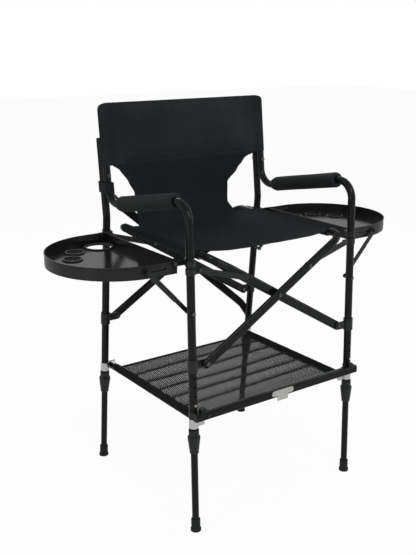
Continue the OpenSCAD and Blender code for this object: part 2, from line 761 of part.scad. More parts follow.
// Net of the footrest with its cloth sleeves and hems
module footrest_mesh() {
    inner = rest_rail_x - rest_rail_d / 2 - 3;
    y0 = rest_front_y + 30;
    y1 = rest_rear_y - 32;
    net_t = 2;
    sleeve = rest_rail_d / 2 + 0.4;
    hem = 14;
    pitch_x = (2 * inner - hem) / net_across;
    pitch_y = (y1 - y0 - 2 * hem) / net_along;
    strand = 5;
    color("#2b2e30") difference() {
        union() {
            translate([-rest_rail_x, y0, rest_z - net_t / 2])
                cube([2 * rest_rail_x, y1 - y0, net_t]);
            for (side = [-1, 1])
                translate([side * rest_rail_x, y0, rest_z]) rotate([-90, 0, 0])
                    cylinder(r = sleeve + 2.4, h = y1 - y0);
        }
        for (side = [-1, 1])
            translate([side * rest_rail_x, y0 - 1, rest_z]) rotate([-90, 0, 0])
                cylinder(r = sleeve, h = y1 - y0 + 2);
        translate([-inner + hem / 2, y0 + hem, rest_z - net_t])
            linear_extrude(2 * net_t)
                for (i = [0 : net_across - 1], j = [0 : net_along - 1])
                    translate([(i + 0.5) * pitch_x, (j + 0.5) * pitch_y])
                        square([pitch_x - strand, pitch_y - strand], center = true);
    }
}

// Outline of a tray seen from above, drawn for the right side
module tray_outline(inset) {
    translate([tray_x + inset, tray_front_y + inset])
        square([tray_round_x - tray_x - inset, 2 * (tray_r - inset)]);
    intersection() {
        translate([tray_round_x, tray_mid_y]) circle(r = tray_r - inset, $fn = 128);
        translate([tray_round_x - 1, tray_mid_y - tray_r]) square([tray_r + 10, 2 * tray_r]);
    }
}
module side_tray() {
    color("#141617") difference() {
        union() {
            translate([0, 0, tray_bottom]) linear_extrude(tray_wall_h) tray_outline(0);
            translate([0, 0, tray_top - 3]) linear_extrude(3) tray_outline(-0.9);
        }
        translate([0, 0, tray_floor]) linear_extrude(tray_wall_h) tray_outline(tray_t);
        translate([0, 0, tray_bottom - 1]) linear_extrude(tray_floor - 2 - tray_bottom + 1)
            tray_outline(tray_t);
        translate([cup_at[0], cup_at[1], tray_bottom]) cylinder(d = cup_hole_d, h = tray_wall_h);
        for (p = jar_at)
            translate([p[0], p[1], tray_bottom]) cylinder(d = jar_hole_d, h = tray_wall_h);
        y_hole(hinge_x, hinge_z, tray_front_y - 5, tray_rear_y + 5);
        for (y = [tray_front_y, tray_rear_y]) wall_slot(y - 5, y + 5);
    }
}
// Oblong slot in a tray wall, in which the stay pin travels
module wall_slot(y0, y1) {
    for (x = [stay_pin_x, stay_pin_x - slot_length + slot_h])
        y_hole(x, slot_z, y0, y1, slot_h + 0.4);
    translate([stay_pin_x - slot_length + slot_h, y0, slot_z - slot_h / 2 - 0.2])
        cube([slot_length - slot_h, y1 - y0, slot_h + 0.4]);
}
// Rings in the tray holes
module ring(d) {
    rotate_extrude() polygon([
        [d / 2 - 1.6, -4], [d / 2 - fit_gap, -4], [d / 2 - fit_gap, 0],
        [d / 2 + 3.2, 0], [d / 2 + 3.2, 1.6], [d / 2 + 1.4, 3.6], [d / 2 - 1.6, 3.6]
    ]);
}
module side_tray_rings() {
    color("#0f1011") {
        translate([cup_at[0], cup_at[1], tray_floor]) ring(cup_hole_d);
        for (p = jar_at) translate([p[0], p[1], tray_floor]) ring(jar_hole_d);
    }
}
// Bright slotted plates on the front and rear walls of a tray
module side_slot_plates() {
    x0 = stay_pin_x - slot_length - 14;
    x1 = stay_pin_x + 11;
    tall = 15;
    color("#9a9da0")
        for (fore = [0, 1]) {
            y0 = fore == 1 ? tray_front_y - plate_t : tray_rear_y;
            head = fore == 1 ? y0 - 1 : y0 + plate_t;
            difference() {
                translate([x0, y0, slot_z - tall / 2]) cube([x1 - x0, plate_t, tall]);
                wall_slot(y0 - 1, y0 + plate_t + 1);
            }
            for (x = [x0 + 5, x0 + 13])
                translate([x, head, slot_z]) rotate([-90, 0, 0]) cylinder(r = 2.5, h = 1);
        }
}

// Two-strip riveted stay from a leg pivot to the slot pin
module side_stay(fore) {
    y0 = fore ? stay_front_y : stay_rear_y - stay_t;
    strip = stay_t / 2;
    near = fore ? 0 : strip;
    lap = 0.36;
    pin_end = fore ? tray_front_y - plate_t - 0.6 : tray_rear_y + plate_t + 0.6;
    color("#1c1e20") translate([half_w, y0, stay_z]) rotate([0, -stay_angle, 0]) {
        translate([0, near, 0]) rotate([-90, 0, 0]) linear_extrude(strip) difference() {
            stay_strip(0, stay_span * (0.5 + lap / 2), stay_w - 2);
            circle(d = pin_d + 2 * pin_gap);
        }
        translate([0, strip - near, 0]) rotate([-90, 0, 0]) linear_extrude(strip)
            stay_strip(stay_span * (0.5 - lap / 2), stay_span, stay_w);
    }
    color("#3a3d40") {
        translate([half_w + stay_span / 2 * cos(stay_angle), y0 - 1,
            stay_z + stay_span / 2 * sin(stay_angle)])
            rotate([-90, 0, 0]) cylinder(r = 2.5, h = stay_t + 2);
        translate([stay_pin_x, min(y0 - (fore ? 1.6 : 0), pin_end), slot_z])
            rotate([-90, 0, 0]) cylinder(r = 2.6, h = abs(fore ? pin_end - y0 + 1.6
                : y0 + stay_t + 1.6 - pin_end));
        translate([stay_pin_x, fore ? y0 - 1.6 : y0 + stay_t, slot_z]) rotate([-90, 0, 0])
            cylinder(r = 5, h = 1.6);
    }
}
module stay_strip(from, to, w) {
    translate([from, -w / 2]) square([to - from, w]);
    translate([from, 0]) circle(d = w);
    translate([to, 0]) circle(d = w);
}

// Inner leg tube, rubber foot and snap button
leg_low = 6;
leg_high = button_z + 22;
module inner_leg(fore) {
    color("#191b1d") at_leg(fore) difference() {
        translate([0, 0, leg_low]) cylinder(d = leg_d, h = leg_high - leg_low);
        translate([0, 0, leg_low - 1]) cylinder(d = leg_d - 2 * leg_wall, h = leg_high);
        translate([0, 0, along(button_z, fore)]) rotate([fore ? 90 : -90, 0, 0])
            cylinder(d = button_d + 4 * pin_gap, h = leg_d);
    }
}
module rubber_foot(fore) {
    seat_r = leg_d / 2 + fit_gap;
    top_r = seat_r + 3;
    spread = 3;
    color("#202326") difference() {
        at_leg(fore) rotate_extrude() polygon([
            [0, -spread], [foot_d / 2, -spread], [foot_d / 2, 7], [foot_d / 2 - 1.5, 9],
            [top_r, 11], [top_r, foot_height - 1.5], [top_r - 1.5, foot_height],
            [seat_r, foot_height], [seat_r, leg_low], [0, leg_low]
        ]);
        translate([half_w - 50, (fore ? front_foot_y : back_foot_y) - 50, -20])
            cube([100, 100, 20]);
    }
}
module snap_button(fore) {
    inner_r = leg_d / 2 - leg_wall;
    reach = tube_r + 2.6;
    leaf_w = 7;
    color("#b08d3c") at_leg(fore) translate([0, 0, along(button_z, fore)])
        rotate([fore ? 90 : -90, 0, 0]) {
            translate([0, 0, 3.4]) cylinder(d = button_d, h = reach - 4.4);
            translate([0, 0, reach - 1]) cylinder(d1 = button_d, d2 = button_d - 1.6, h = 1);
            translate([-leaf_w / 2, -15, 2.6]) cube([leaf_w, 24, 0.8]);
            translate([-leaf_w / 2, -15.8, -inner_r + 3.6]) cube([leaf_w, 0.8, inner_r - 0.2]);
        }
}

// Closed sheet between a lower and an upper grid of points
module grid_solid(top, bottom) {
    rows = len(top);
    cols = len(top[0]);
    count = rows * cols;
    points = concat([for (r = top) for (p = r) p], [for (r = bottom) for (p = r) p]);
    function at(i, j) = i * cols + j;
    faces = concat(
        [for (i = [0 : rows - 2], j = [0 : cols - 2]) [at(i, j), at(i, j + 1), at(i + 1, j + 1)]],
        [for (i = [0 : rows - 2], j = [0 : cols - 2]) [at(i, j), at(i + 1, j + 1), at(i + 1, j)]],
        [for (i = [0 : rows - 2], j = [0 : cols - 2])
            [count + at(i, j), count + at(i + 1, j + 1), count + at(i, j + 1)]],
        [for (i = [0 : rows - 2], j = [0 : cols - 2])
            [count + at(i, j), count + at(i + 1, j), count + at(i + 1, j + 1)]],
        [for (i = [0 : rows - 2]) each [
            [at(i, 0), at(i + 1, 0), count + at(i + 1, 0)],
            [at(i, 0), count + at(i + 1, 0), count + at(i, 0)],
            [at(i + 1, cols - 1), at(i, cols - 1), count + at(i, cols - 1)],
            [at(i + 1, cols - 1), count + at(i, cols - 1), count + at(i + 1, cols - 1)]]],
        [for (j = [0 : cols - 2]) each [
            [at(0, j + 1), at(0, j), count + at(0, j)],
            [at(0, j + 1), count + at(0, j), count + at(0, j + 1)],
            [at(rows - 1, j), at(rows - 1, j + 1), count + at(rows - 1, j + 1)],
            [at(rows - 1, j), count + at(rows - 1, j + 1), count + at(rows - 1, j)]]]
    );
    polyhedron(points, faces, convexity = 6);
}

// Sling seat: a sagging sheet that ends in a sleeve round each rail
seat_edge_z = rail_z + sleeve_r - 1.6;
function sag_at(u, v) = seat_sag * (1 - u * u) * (0.8 + 0.2 * cos(360 * v));
function seat_point(u, v, drop) = [
    u * (rail_x - 2),
    sling_front + v * seat_depth - seat_overhang * (1 - pow(abs(u), 5)) * (1 - v),
    seat_edge_z - sag_at(u, v) - drop
];
module seat() {
    steps_x = 20;
    steps_y = 12;
    us = [for (i = [0 : steps_x]) 2 * i / steps_x - 1];
    vs = [for (j = [0 : steps_y]) j / steps_y];
    color("#22262a") {
        difference() {
            grid_solid([for (v = vs) [for (u = us) seat_point(u, v, cloth_t)]],
                [for (v = vs) [for (u = us) seat_point(u, v, 0)]]);
            for (side = [-1, 1]) rail_space(side);
        }
        for (side = [-1, 1]) difference() {
            translate([side * rail_x, sling_front, rail_z]) rotate([-90, 0, 0])
                cylinder(r = sleeve_r, h = sling_back - sling_front);
            rail_space(side);
        }
    }
}
module rail_space(side) {
    translate([side * rail_x, sling_front - 7, rail_z]) rotate([-90, 0, 0])
        cylinder(r = rail_r + sleeve_gap + 0.1, h = sling_back - sling_front + 8);
}

// Back band: padded middle between two sleeves, leaning with the uprights
band_seam = half_w - 58;
function pad_at(x) = abs(x) >= band_seam ? 0 : pow(cos(90 * x / band_seam), 0.5);
module band_section() {
    flat_t = 5;
    xs = [for (i = [-12 : 12]) i * band_seam / 12];
    difference() {
        union() {
            polygon(concat(
                [for (x = xs) [x, -flat_t / 2 - (pad_t - flat_t) * 0.6 * pad_at(x)]],
                [for (i = [24 : -1 : 0]) [xs[i], flat_t / 2 + (pad_t - flat_t) * 0.4 * pad_at(xs[i])]]));
            square([2 * half_w, flat_t], center = true);
            for (side = [-1, 1]) translate([side * half_w, 0]) circle(r = band_sleeve_r);
        }
        for (side = [-1, 1]) translate([side * half_w, 0]) circle(r = tube_r + sleeve_gap);
    }
}
module back_panel() {
    lean_h = (band_top - band_bottom) / cos(upper_lean);
    corner = 24;
    edge = half_w + band_sleeve_r;
    color("#22262a") {
        translate([0, upright_y(band_bottom), band_bottom]) rotate([-upper_lean, 0, 0])
            intersection() {
                linear_extrude(lean_h) band_section();
                rotate([90, 0, 0]) linear_extrude(80, center = true) union() {
                    translate([-edge, 0]) square([2 * edge, lean_h - corner]);
                    translate([corner - edge, 0]) square([2 * (edge - corner), lean_h]);
                    for (side = [-1, 1])
                        translate([side * (edge - corner), lean_h - corner]) circle(r = corner);
                }
            }
    }
}

// Lower back cloth from the back edge of the seat up to the band
lower_z = [0, 0.1, 0.24, 0.55, 0.72, 0.9, 1];
lower_left = [for (v = [74, 78, 81, 83, 68, 44, 18]) half_w - v];
lower_right = [for (v = [94, 136, 152, 142, 98, 62, 18]) half_w - v];
lower_low = seat_edge_z - seat_sag * 0.62;
lower_high = band_bottom - 1;
module lower_back() {
    steps_x = 22;
    steps_z = 16;
    band_y = upright_y(band_bottom);
    function cloth_y(u, t) = (seat_back_y + 1.2) * (1 - t) + (band_y - 1.6) * t
        + 9 * sin(180 * t) * (1 - u * u) + 2.5 * sin(900 * t + 120 * u * u) * (1 - u * u);
    function at(u, t, off) = let (half = u < 0 ? lookup_in(lower_left, t) : lookup_in(lower_right, t))
        [u * half, cloth_y(u, t) + off, lower_low + 10 * u * u * (1 - t) + t * (lower_high - lower_low)];
    us = [for (i = [0 : steps_x]) 2 * i / steps_x - 1];
    ts = [for (j = [0 : steps_z]) j / steps_z];
    color("#1f2326")
        grid_solid([for (t = ts) [for (u = us) at(u, t, cloth_t)]],
            [for (t = ts) [for (u = us) at(u, t, 0)]]);
}
function lookup_in(widths, t) =
    lookup(t, [for (i = [0 : len(lower_z) - 1]) [lower_z[i], widths[i]]]);

// Carry strap: from a loop round the left back leg, behind the crossed
// frames and the right back leg, to the rear right footrest bracket
strap_route = [
    [-276, -4.4, 872], [-245, 8, 848], [-205, 22, 813], [-120, 27, 742], [0, 28, 640],
    [120, 29, 537], [248, 31, 428], [272, 31.5, 402], [290, 31.5, 376], [300, 27, 348]
];
strap_t = 1.6;
function strap_at(i) = [strap_route[i][0], rear_plane - 4 + strap_route[i][1], strap_route[i][2]];
module carry_strap() {
    last = len(strap_route) - 1;
    function across(i) = let (d = unit(strap_at(min(i + 1, last)) - strap_at(max(i - 1, 0))))
        unit([-d[2], 0, d[0]]) * strap_w / 2;
    back = [0, strap_t, 0];
    color("#1c1f21") {
        grid_solid([for (i = [0 : last]) [strap_at(i) + across(i) + back, strap_at(i) - across(i) + back]],
            [for (i = [0 : last]) [strap_at(i) + across(i), strap_at(i) - across(i)]]);
        strap_loop();
    }
}
// Webbing loop round the left upright and back leg
module strap_loop() {
    low = 868;
    tall = 30;
    reach = 16;
    inner = tube_r + 1.8;
    translate([-half_w, (upright_y(low) + upper_y(low)) / 2 - 2, low]) rotate([-upper_lean, 0, 0])
        linear_extrude(tall) difference() {
            loop_outline(inner + strap_t, reach);
            loop_outline(inner, reach);
        }
}
module loop_outline(r, reach) {
    square([2 * r, 2 * reach], center = true);
    for (side = [-1, 1]) translate([0, side * reach]) circle(r = r);
}

// Named nodes of the two side frames
module right_front_tube() side_front_tube();
module left_front_tube() on_left() side_front_tube();
module right_back_tube() side_back_tube();
module left_back_tube() on_left() side_back_tube();
module right_arm_grip() side_arm_grip();
module left_arm_grip() on_left() side_arm_grip();
module right_end_caps() side_end_caps();
module left_end_caps() on_left() side_end_caps();
module right_collars() side_collars();
module left_collars() on_left() side_collars();
module right_hinge_sleeves() side_hinge_sleeves();
module left_hinge_sleeves() on_left() side_hinge_sleeves();
module right_post_brackets() side_post_brackets();
module left_post_brackets() on_left() side_post_brackets();
module right_frame_bolts() side_frame_bolts(false);
module left_frame_bolts() on_left() side_frame_bolts(true);
module right_rest_brackets() side_rest_brackets(false);
module left_rest_brackets() on_left() side_rest_brackets(true);
module right_rest_rail() side_rest_rail();
module left_rest_rail() on_left() side_rest_rail();
module right_tray() side_tray();
module left_tray() on_left() side_tray();
module right_tray_rings() side_tray_rings();
module left_tray_rings() on_left() side_tray_rings();
module right_slot_plates() side_slot_plates();
module left_slot_plates() on_left() side_slot_plates();
module right_front_stay() side_stay(true);
module left_front_stay() on_left() side_stay(true);
module right_rear_stay() side_stay(false);
module left_rear_stay() on_left() side_stay(false);
module front_right_leg() inner_leg(true);
module front_left_leg() on_left() inner_leg(true);
module rear_right_leg() inner_leg(false);
module rear_left_leg() on_left() inner_leg(false);
module front_right_foot() rubber_foot(true);
module front_left_foot() on_left() rubber_foot(true);
module rear_right_foot() rubber_foot(false);
module rear_left_foot() on_left() rubber_foot(false);
module front_right_button() snap_button(true);
module front_left_button() on_left() snap_button(true);
module rear_right_button() snap_button(false);
module rear_left_button() on_left() snap_button(false);

left_front_tube();
right_front_tube();
left_back_tube();
right_back_tube();
left_arm_grip();
right_arm_grip();
left_end_caps();
right_end_caps();
left_collars();
right_collars();
left_hinge_sleeves();
right_hinge_sleeves();
left_post_brackets();
right_post_brackets();
left_frame_bolts();
right_frame_bolts();
left_rest_brackets();
right_rest_brackets();
left_rest_rail();
right_rest_rail();
scissor_a_frame();
scissor_b_frame();
scissor_a_bolts();
scissor_b_rivets();
front_left_link();
front_right_link();
rear_left_link();
rear_right_link();
footrest_bar_left();
footrest_bar_right();
footrest_hinge_plate();
footrest_mesh();
left_tray();
right_tray();
left_tray_rings();
right_tray_rings();
left_slot_plates();
right_slot_plates();
left_front_stay();
left_rear_stay();
right_front_stay();
right_rear_stay();
front_left_leg();
front_right_leg();
rear_left_leg();
rear_right_leg();
front_left_foot();
front_right_foot();
rear_left_foot();
rear_right_foot();
front_left_button();
front_right_button();
rear_left_button();
rear_right_button();
seat();
back_panel();
lower_back();
carry_strap();
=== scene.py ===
"""Looks of a folding make-up chair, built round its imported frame."""

import json
import logging
import math
from dataclasses import dataclass, field
from enum import Enum
from typing import Callable

import bmesh
import bpy
from mathutils import Matrix, Vector, noise
from mathutils.bvhtree import BVHTree

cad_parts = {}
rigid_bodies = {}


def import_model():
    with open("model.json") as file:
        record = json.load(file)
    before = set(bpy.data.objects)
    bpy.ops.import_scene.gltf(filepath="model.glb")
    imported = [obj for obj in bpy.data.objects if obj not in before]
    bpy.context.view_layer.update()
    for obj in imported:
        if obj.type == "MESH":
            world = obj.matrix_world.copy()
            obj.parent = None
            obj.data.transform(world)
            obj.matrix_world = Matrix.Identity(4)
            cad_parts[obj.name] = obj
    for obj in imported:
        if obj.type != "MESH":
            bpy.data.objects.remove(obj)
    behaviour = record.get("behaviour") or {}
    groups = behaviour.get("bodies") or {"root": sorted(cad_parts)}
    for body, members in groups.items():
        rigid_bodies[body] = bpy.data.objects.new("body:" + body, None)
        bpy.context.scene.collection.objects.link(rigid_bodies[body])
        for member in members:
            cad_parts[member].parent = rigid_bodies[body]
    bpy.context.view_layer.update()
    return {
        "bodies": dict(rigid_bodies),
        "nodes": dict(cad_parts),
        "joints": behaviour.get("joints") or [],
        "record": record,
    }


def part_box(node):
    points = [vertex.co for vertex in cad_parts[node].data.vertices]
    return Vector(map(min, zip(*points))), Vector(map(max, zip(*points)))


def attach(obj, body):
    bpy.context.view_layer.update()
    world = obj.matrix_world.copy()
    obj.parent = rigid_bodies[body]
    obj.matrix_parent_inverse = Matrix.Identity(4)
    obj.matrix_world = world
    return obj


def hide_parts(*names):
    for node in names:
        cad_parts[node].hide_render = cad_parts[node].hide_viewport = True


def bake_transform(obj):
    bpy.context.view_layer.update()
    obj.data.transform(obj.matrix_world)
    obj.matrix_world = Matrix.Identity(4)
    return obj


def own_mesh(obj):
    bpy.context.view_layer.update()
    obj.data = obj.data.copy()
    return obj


LOG = logging.getLogger("make_up_chair")
Point = tuple[float, float, float]
Pair = tuple[float, float]
Piece = bpy.types.Object
Socket = bpy.types.NodeSocket
Material = bpy.types.Material


class Side(Enum):
    """The viewer's left or right, with its sign along X."""

    LEFT = -1
    RIGHT = 1

    def of(self, part: str) -> str:
        """The name of a part on this side."""
        return f"{self.name.lower()}_{part}"


class End(Enum):
    """Front or rear of the chair, with its sign along Y."""

    FRONT = -1
    REAR = 1


class Value:
    """A shader socket whose arithmetic adds Math nodes."""

    def __init__(self, graph: "Graph", socket: Socket) -> None:
        """Keeps the graph and the socket that it stands for."""
        self.graph = graph
        self.socket = socket

    def __add__(self, other: "Value | float") -> "Value":
        """Sum."""
        return self.graph.math("ADD", self, other)

    def __sub__(self, other: "Value | float") -> "Value":
        """Difference."""
        return self.graph.math("SUBTRACT", self, other)

    def __rsub__(self, other: float) -> "Value":
        """Difference with a number on the left."""
        return self.graph.math("SUBTRACT", other, self)

    def __mul__(self, other: "Value | float") -> "Value":
        """Product."""
        return self.graph.math("MULTIPLY", self, other)

    __radd__ = __add__
    __rmul__ = __mul__

    def sine(self) -> "Value":
        """Sine of the value."""
        return self.graph.math("SINE", self)

    def over(self, limit: float) -> "Value":
        """1 where the value is over the limit, else 0."""
        return self.graph.math("GREATER_THAN", self, limit)


class Graph:
    """The node tree of a new material or of the world."""

    def __init__(self, owner: bpy.types.ID) -> None:
        """Clears the owner's tree."""
        self.owner = owner
        owner.use_nodes = True
        self.tree = owner.node_tree
        self.tree.nodes.clear()

    def node(self, kind: str, settings: dict, inputs: dict) -> bpy.types.Node:
        """Adds a node.

        Args:
            kind: the node's type.
            settings: its properties, set first.
            inputs: a value or a link for each named or numbered socket.

        Returns:
            The new node.
        """
        made = self.tree.nodes.new(kind)
        for key, value in settings.items():
            setattr(made, key, value)
        for key, value in inputs.items():
            given = value.socket if isinstance(value, Value) else value
            if isinstance(given, Socket):
                self.tree.links.new(given, made.inputs[key])
            else:
                made.inputs[key].default_value = given
        return made

    def math(self, operation: str, *terms: "Value | float") -> Value:
        """Adds a Math node over the terms and returns its result."""
        made = self.node("ShaderNodeMath", {"operation": operation}, dict(enumerate(terms)))
        return Value(self, made.outputs[0])

    def watched(self, gloss_share: float) -> Value:
        """1 for the camera's rays and through glass, a share for what gloss sees, else 0."""
        path = self.node("ShaderNodeLightPath", {}, {})
        camera, gloss, glass = (
            Value(self, path.outputs[k])
            for k in ("Is Camera Ray", "Is Glossy Ray", "Is Transmission Ray")
        )
        return self.math("MAXIMUM", self.math("MAXIMUM", camera, gloss * gloss_share), glass)

    def where(self) -> Socket:
        """The point in the object's own coordinates, in metres."""
        return self.node("ShaderNodeTexCoord", {}, {}).outputs["Object"]

    def cloth_point(self) -> Socket:
        """The point on the cloth, in metres along its two yarn directions."""
        return self.node("ShaderNodeTexCoord", {}, {}).outputs["UV"]

    def parts(self, vector: Socket) -> tuple[Value, Value, Value]:
        """Splits a vector into its three numbers."""
        made = self.node("ShaderNodeSeparateXYZ", {}, {"Vector": vector})
        return tuple(Value(self, made.outputs[k]) for k in range(3))

    def stretch(self, vector: Socket, scale: Point) -> Socket:
        """The vector scaled along each axis."""
        made = self.node("ShaderNodeMapping", {}, {"Vector": vector, "Scale": scale})
        return made.outputs["Vector"]

    def clouds(self, vector: Socket, scale: float, detail: float) -> Value:
        """Soft noise from 0 to 1."""
        inputs = {"Vector": vector, "Scale": scale, "Detail": detail}
        return Value(self, self.node("ShaderNodeTexNoise", {}, inputs).outputs["Fac"])

    def cells(self, vector: Socket, scale: float) -> Value:
        """Distance to the nearest cell centre."""
        made = self.node("ShaderNodeTexVoronoi", {}, {"Vector": vector, "Scale": scale})
        return Value(self, made.outputs["Distance"])

    def brushed(self, at: Socket) -> tuple[Value, Value]:
        """Brush lines along X, and tarnish in clouds."""
        lines = self.clouds(self.stretch(at, (60.0, 900.0, 900.0)), 1.0, 2.0)
        return lines, self.clouds(at, 45.0, 5.0)

    def blend(self, factor: Value, low: "Point | Socket", high: "Point | Socket") -> Socket:
        """A colour between two, each of them plain or a link."""
        ends = [(*end, 1.0) if isinstance(end, tuple) else end for end in (low, high)]
        inputs = {0: factor, 6: ends[0], 7: ends[1]}
        return self.node("ShaderNodeMix", {"data_type": "RGBA"}, inputs).outputs[2]

    def bump(self, height: Value, distance: float, strength: float) -> Socket:
        """A normal from a height, distance metres high."""
        inputs = {"Height": height, "Distance": distance, "Strength": strength}
        return self.node("ShaderNodeBump", {}, inputs).outputs["Normal"]

    def surface(self, inputs: dict) -> Material:
        """Ends the tree with the main surface shader and returns the material."""
        shader = self.node("ShaderNodeBsdfPrincipled", {}, inputs)
        self.node("ShaderNodeOutputMaterial", {}, {"Surface": shader.outputs["BSDF"]})
        return self.owner


def shade(colour: Point, factor: float) -> Point:
    """A colour made paler or darker."""
    return tuple(part * factor for part in colour)


@dataclass(frozen=True)
class Finish:
    """A finish, known by the name of its material."""

    name: str

    def graph(self) -> Graph:
        """The cleared tree of its new material."""
        return Graph(bpy.data.materials.new(self.name))


@dataclass(frozen=True)
class Enamel(Finish):
    """Black enamel baked on steel or aluminium tube."""

    colour: Point = (0.0052, 0.0062, 0.0066)
    roughness: float = 0.1
    specular: float = 0.15
    peel: float = 0.00002

    def make(self) -> Material:
        """The material: slow colour change, faint orange peel, and dust in the roughness."""
        g = self.graph()
        at = g.where()
        slow = g.clouds(at, 9.0, 4.0)
        dust = g.clouds(at, 60.0, 5.0)
        peel = g.clouds(at, 520.0, 1.0)
        return g.surface({
            "Base Color": g.blend(slow * 0.6 + dust * 0.4, self.colour, shade(self.colour, 1.5)),
            "Roughness": self.roughness + 0.07 * dust + 0.05 * slow,
            "Specular IOR Level": self.specular,
            "Normal": g.bump(peel, self.peel, 0.5),
        })


@dataclass(frozen=True)
class Steel(Finish):
    """Bare or plated metal with fine brush lines."""

    colour: Point = (0.55, 0.56, 0.57)
    roughness: float = 0.3
    lines: float = 0.12
    dull: float = 0.62

    def make(self) -> Material:
        """The material: brush lines along X, tarnish in clouds."""
        g = self.graph()
        brushed, tarnish = g.brushed(g.where())
        worn = tarnish * 0.5 + brushed * 0.5
        return g.surface({
            "Base Color": g.blend(worn, shade(self.colour, self.dull), self.colour),
            "Metallic": 1.0,
            "Roughness": self.roughness + self.lines * brushed + 0.08 * tarnish,
            "Normal": g.bump(brushed, 0.00001, 0.4),
        })


@dataclass(frozen=True)
class BracketSet(Finish):
    """Bright rail brackets, with black enamelled hangers above them."""

    bright: Point = (0.62, 0.62, 0.6)
    black: Point = (0.008, 0.009, 0.0095)
    parting: float = 0.3325
    dull: float = 0.66

    def make(self) -> Material:
        """The material: brushed plate up to the parting height, enamel over it."""
        g = self.graph()
        at = g.where()
        enamelled = g.parts(at)[2].over(self.parting)
        brushed, tarnish = g.brushed(at)
        worn = tarnish * 0.5 + brushed * 0.5
        plate = g.blend(worn, shade(self.bright, self.dull), self.bright)
        coat = g.blend(tarnish, self.black, shade(self.black, 1.6))
        return g.surface({
            "Base Color": g.blend(enamelled, plate, coat),
            "Metallic": 1.0 - enamelled,
            "Roughness": 0.28 + 0.1 * brushed + 0.08 * tarnish,
            "Specular IOR Level": 0.3,
            "Normal": g.bump(brushed, 0.00001, 0.4),
        })


@dataclass(frozen=True)
class Moulding(Finish):
    """Moulded plastic or rubber with a spark-eroded grain."""

    colour: Point = (0.0105, 0.0115, 0.012)
    roughness: float = 0.45
    grain: float = 0.00004
    scale: float = 1400.0
    specular: float = 0.25

    def make(self) -> Material:
        """The material: fine grain, slow colour change, dust in the roughness."""
        g = self.graph()
        at = g.where()
        grain = g.clouds(at, self.scale, 2.0)
        slow = g.clouds(at, 22.0, 4.0)
        return g.surface({
            "Base Color": g.blend(slow, self.colour, shade(self.colour, 1.45)),
            "Roughness": self.roughness + 0.12 * slow,
            "Specular IOR Level": self.specular,
            "Normal": g.bump(grain, self.grain, 0.6),
        })


@dataclass(frozen=True)
class GlossPlastic(Finish):
    """Thermoformed plastic of the trays: a mirror floor between satin walls."""

    floor: Pair = (0.7325, 0.7338)
    colour: Point = (0.005, 0.0055, 0.006)
    rubbed: Point = (0.014, 0.015, 0.016)

    def make(self) -> Material:
        """The material: slow waves, faint rubbing marks and dust, glossier on the floor."""
        g = self.graph()
        at = g.where()
        waves = g.clouds(at, 14.0, 1.0)
        rub = g.clouds(g.stretch(at, (35.0, 240.0, 60.0)), 1.0, 6.0)
        dust = g.math("MAXIMUM", g.cells(at, 700.0) * -14.0 + 1.0, 0.0)
        height = g.parts(at)[2]
        level = height.over(self.floor[0]) * (1.0 - height.over(self.floor[1]))
        return g.surface({
            "Base Color": g.blend(dust * 0.4 + rub * 0.3, self.colour, self.rubbed),
            "Roughness": 0.34 - 0.25 * level + 0.1 * rub + 0.12 * dust,
            "Specular IOR Level": 0.28,
            "Normal": g.bump(waves, 0.0006, 0.25),
        })


@dataclass(frozen=True)
class Foam(Finish):
    """Closed-cell foam of the arm grips."""

    colour: Point = (0.0113, 0.0139, 0.0144)

    def make(self) -> Material:
        """The material: small open pores, rubbed patches, a soft sheen."""
        g = self.graph()
        at = g.where()
        pores = g.cells(at, 1150.0)
        skin = g.clouds(at, 260.0, 5.0)
        rubbed = g.clouds(at, 18.0, 4.0)
        worn = rubbed * 0.7 + skin * 0.3
        return g.surface({
            "Base Color": g.blend(worn, self.colour, shade(self.colour, 1.7)),
            "Roughness": 0.62 + 0.2 * rubbed,
            "Specular IOR Level": 0.16,
            "Sheen Weight": 0.01,
            "Sheen Roughness": 0.5,
            "Normal": g.bump(pores + 0.8 * skin, 0.00035, 0.8),
        })


@dataclass(frozen=True)
class Canvas(Finish):
    """Plain-woven polyester canvas, read along the cloth's own yarn directions."""

    colour: Point = (0.0092, 0.0118, 0.0132)
    light: Point = (0.0235, 0.0286, 0.0311)
    pitch: float = 0.00085
    relief: float = 0.00018
    sheen: float = 0.006

    def make(self) -> Material:
        """The material: over and under yarns, slubs, and faded patches."""
        g = self.graph()
        cloth = g.cloth_point()
        u, v, _ = g.parts(cloth)
        turn = math.pi / self.pitch
        over = (u * turn).sine() * (v * turn).sine()
        yarn = (u * (turn * 2.0)).sine() * 0.35 + (v * (turn * 2.0)).sine() * 0.35
        slub = g.clouds(g.stretch(cloth, (90.0, 1400.0, 1.0)), 1.0, 3.0)
        slub_across = g.clouds(g.stretch(cloth, (1400.0, 90.0, 1.0)), 1.0, 3.0)
        faded = g.clouds(g.where(), 7.0, 5.0)
        tone = over * 0.22 + 0.3 + (slub + slub_across - 1.0) * 0.7 + (faded - 0.5) * 1.1
        return g.surface({
            "Base Color": g.blend(tone, self.colour, self.light),
            "Roughness": 0.82 + 0.12 * faded,
            "Specular IOR Level": 0.08,
            "Sheen Weight": self.sheen,
            "Sheen Roughness": 0.45,
            "Normal": g.bump(over + yarn + slub, self.relief, 0.7),
        })


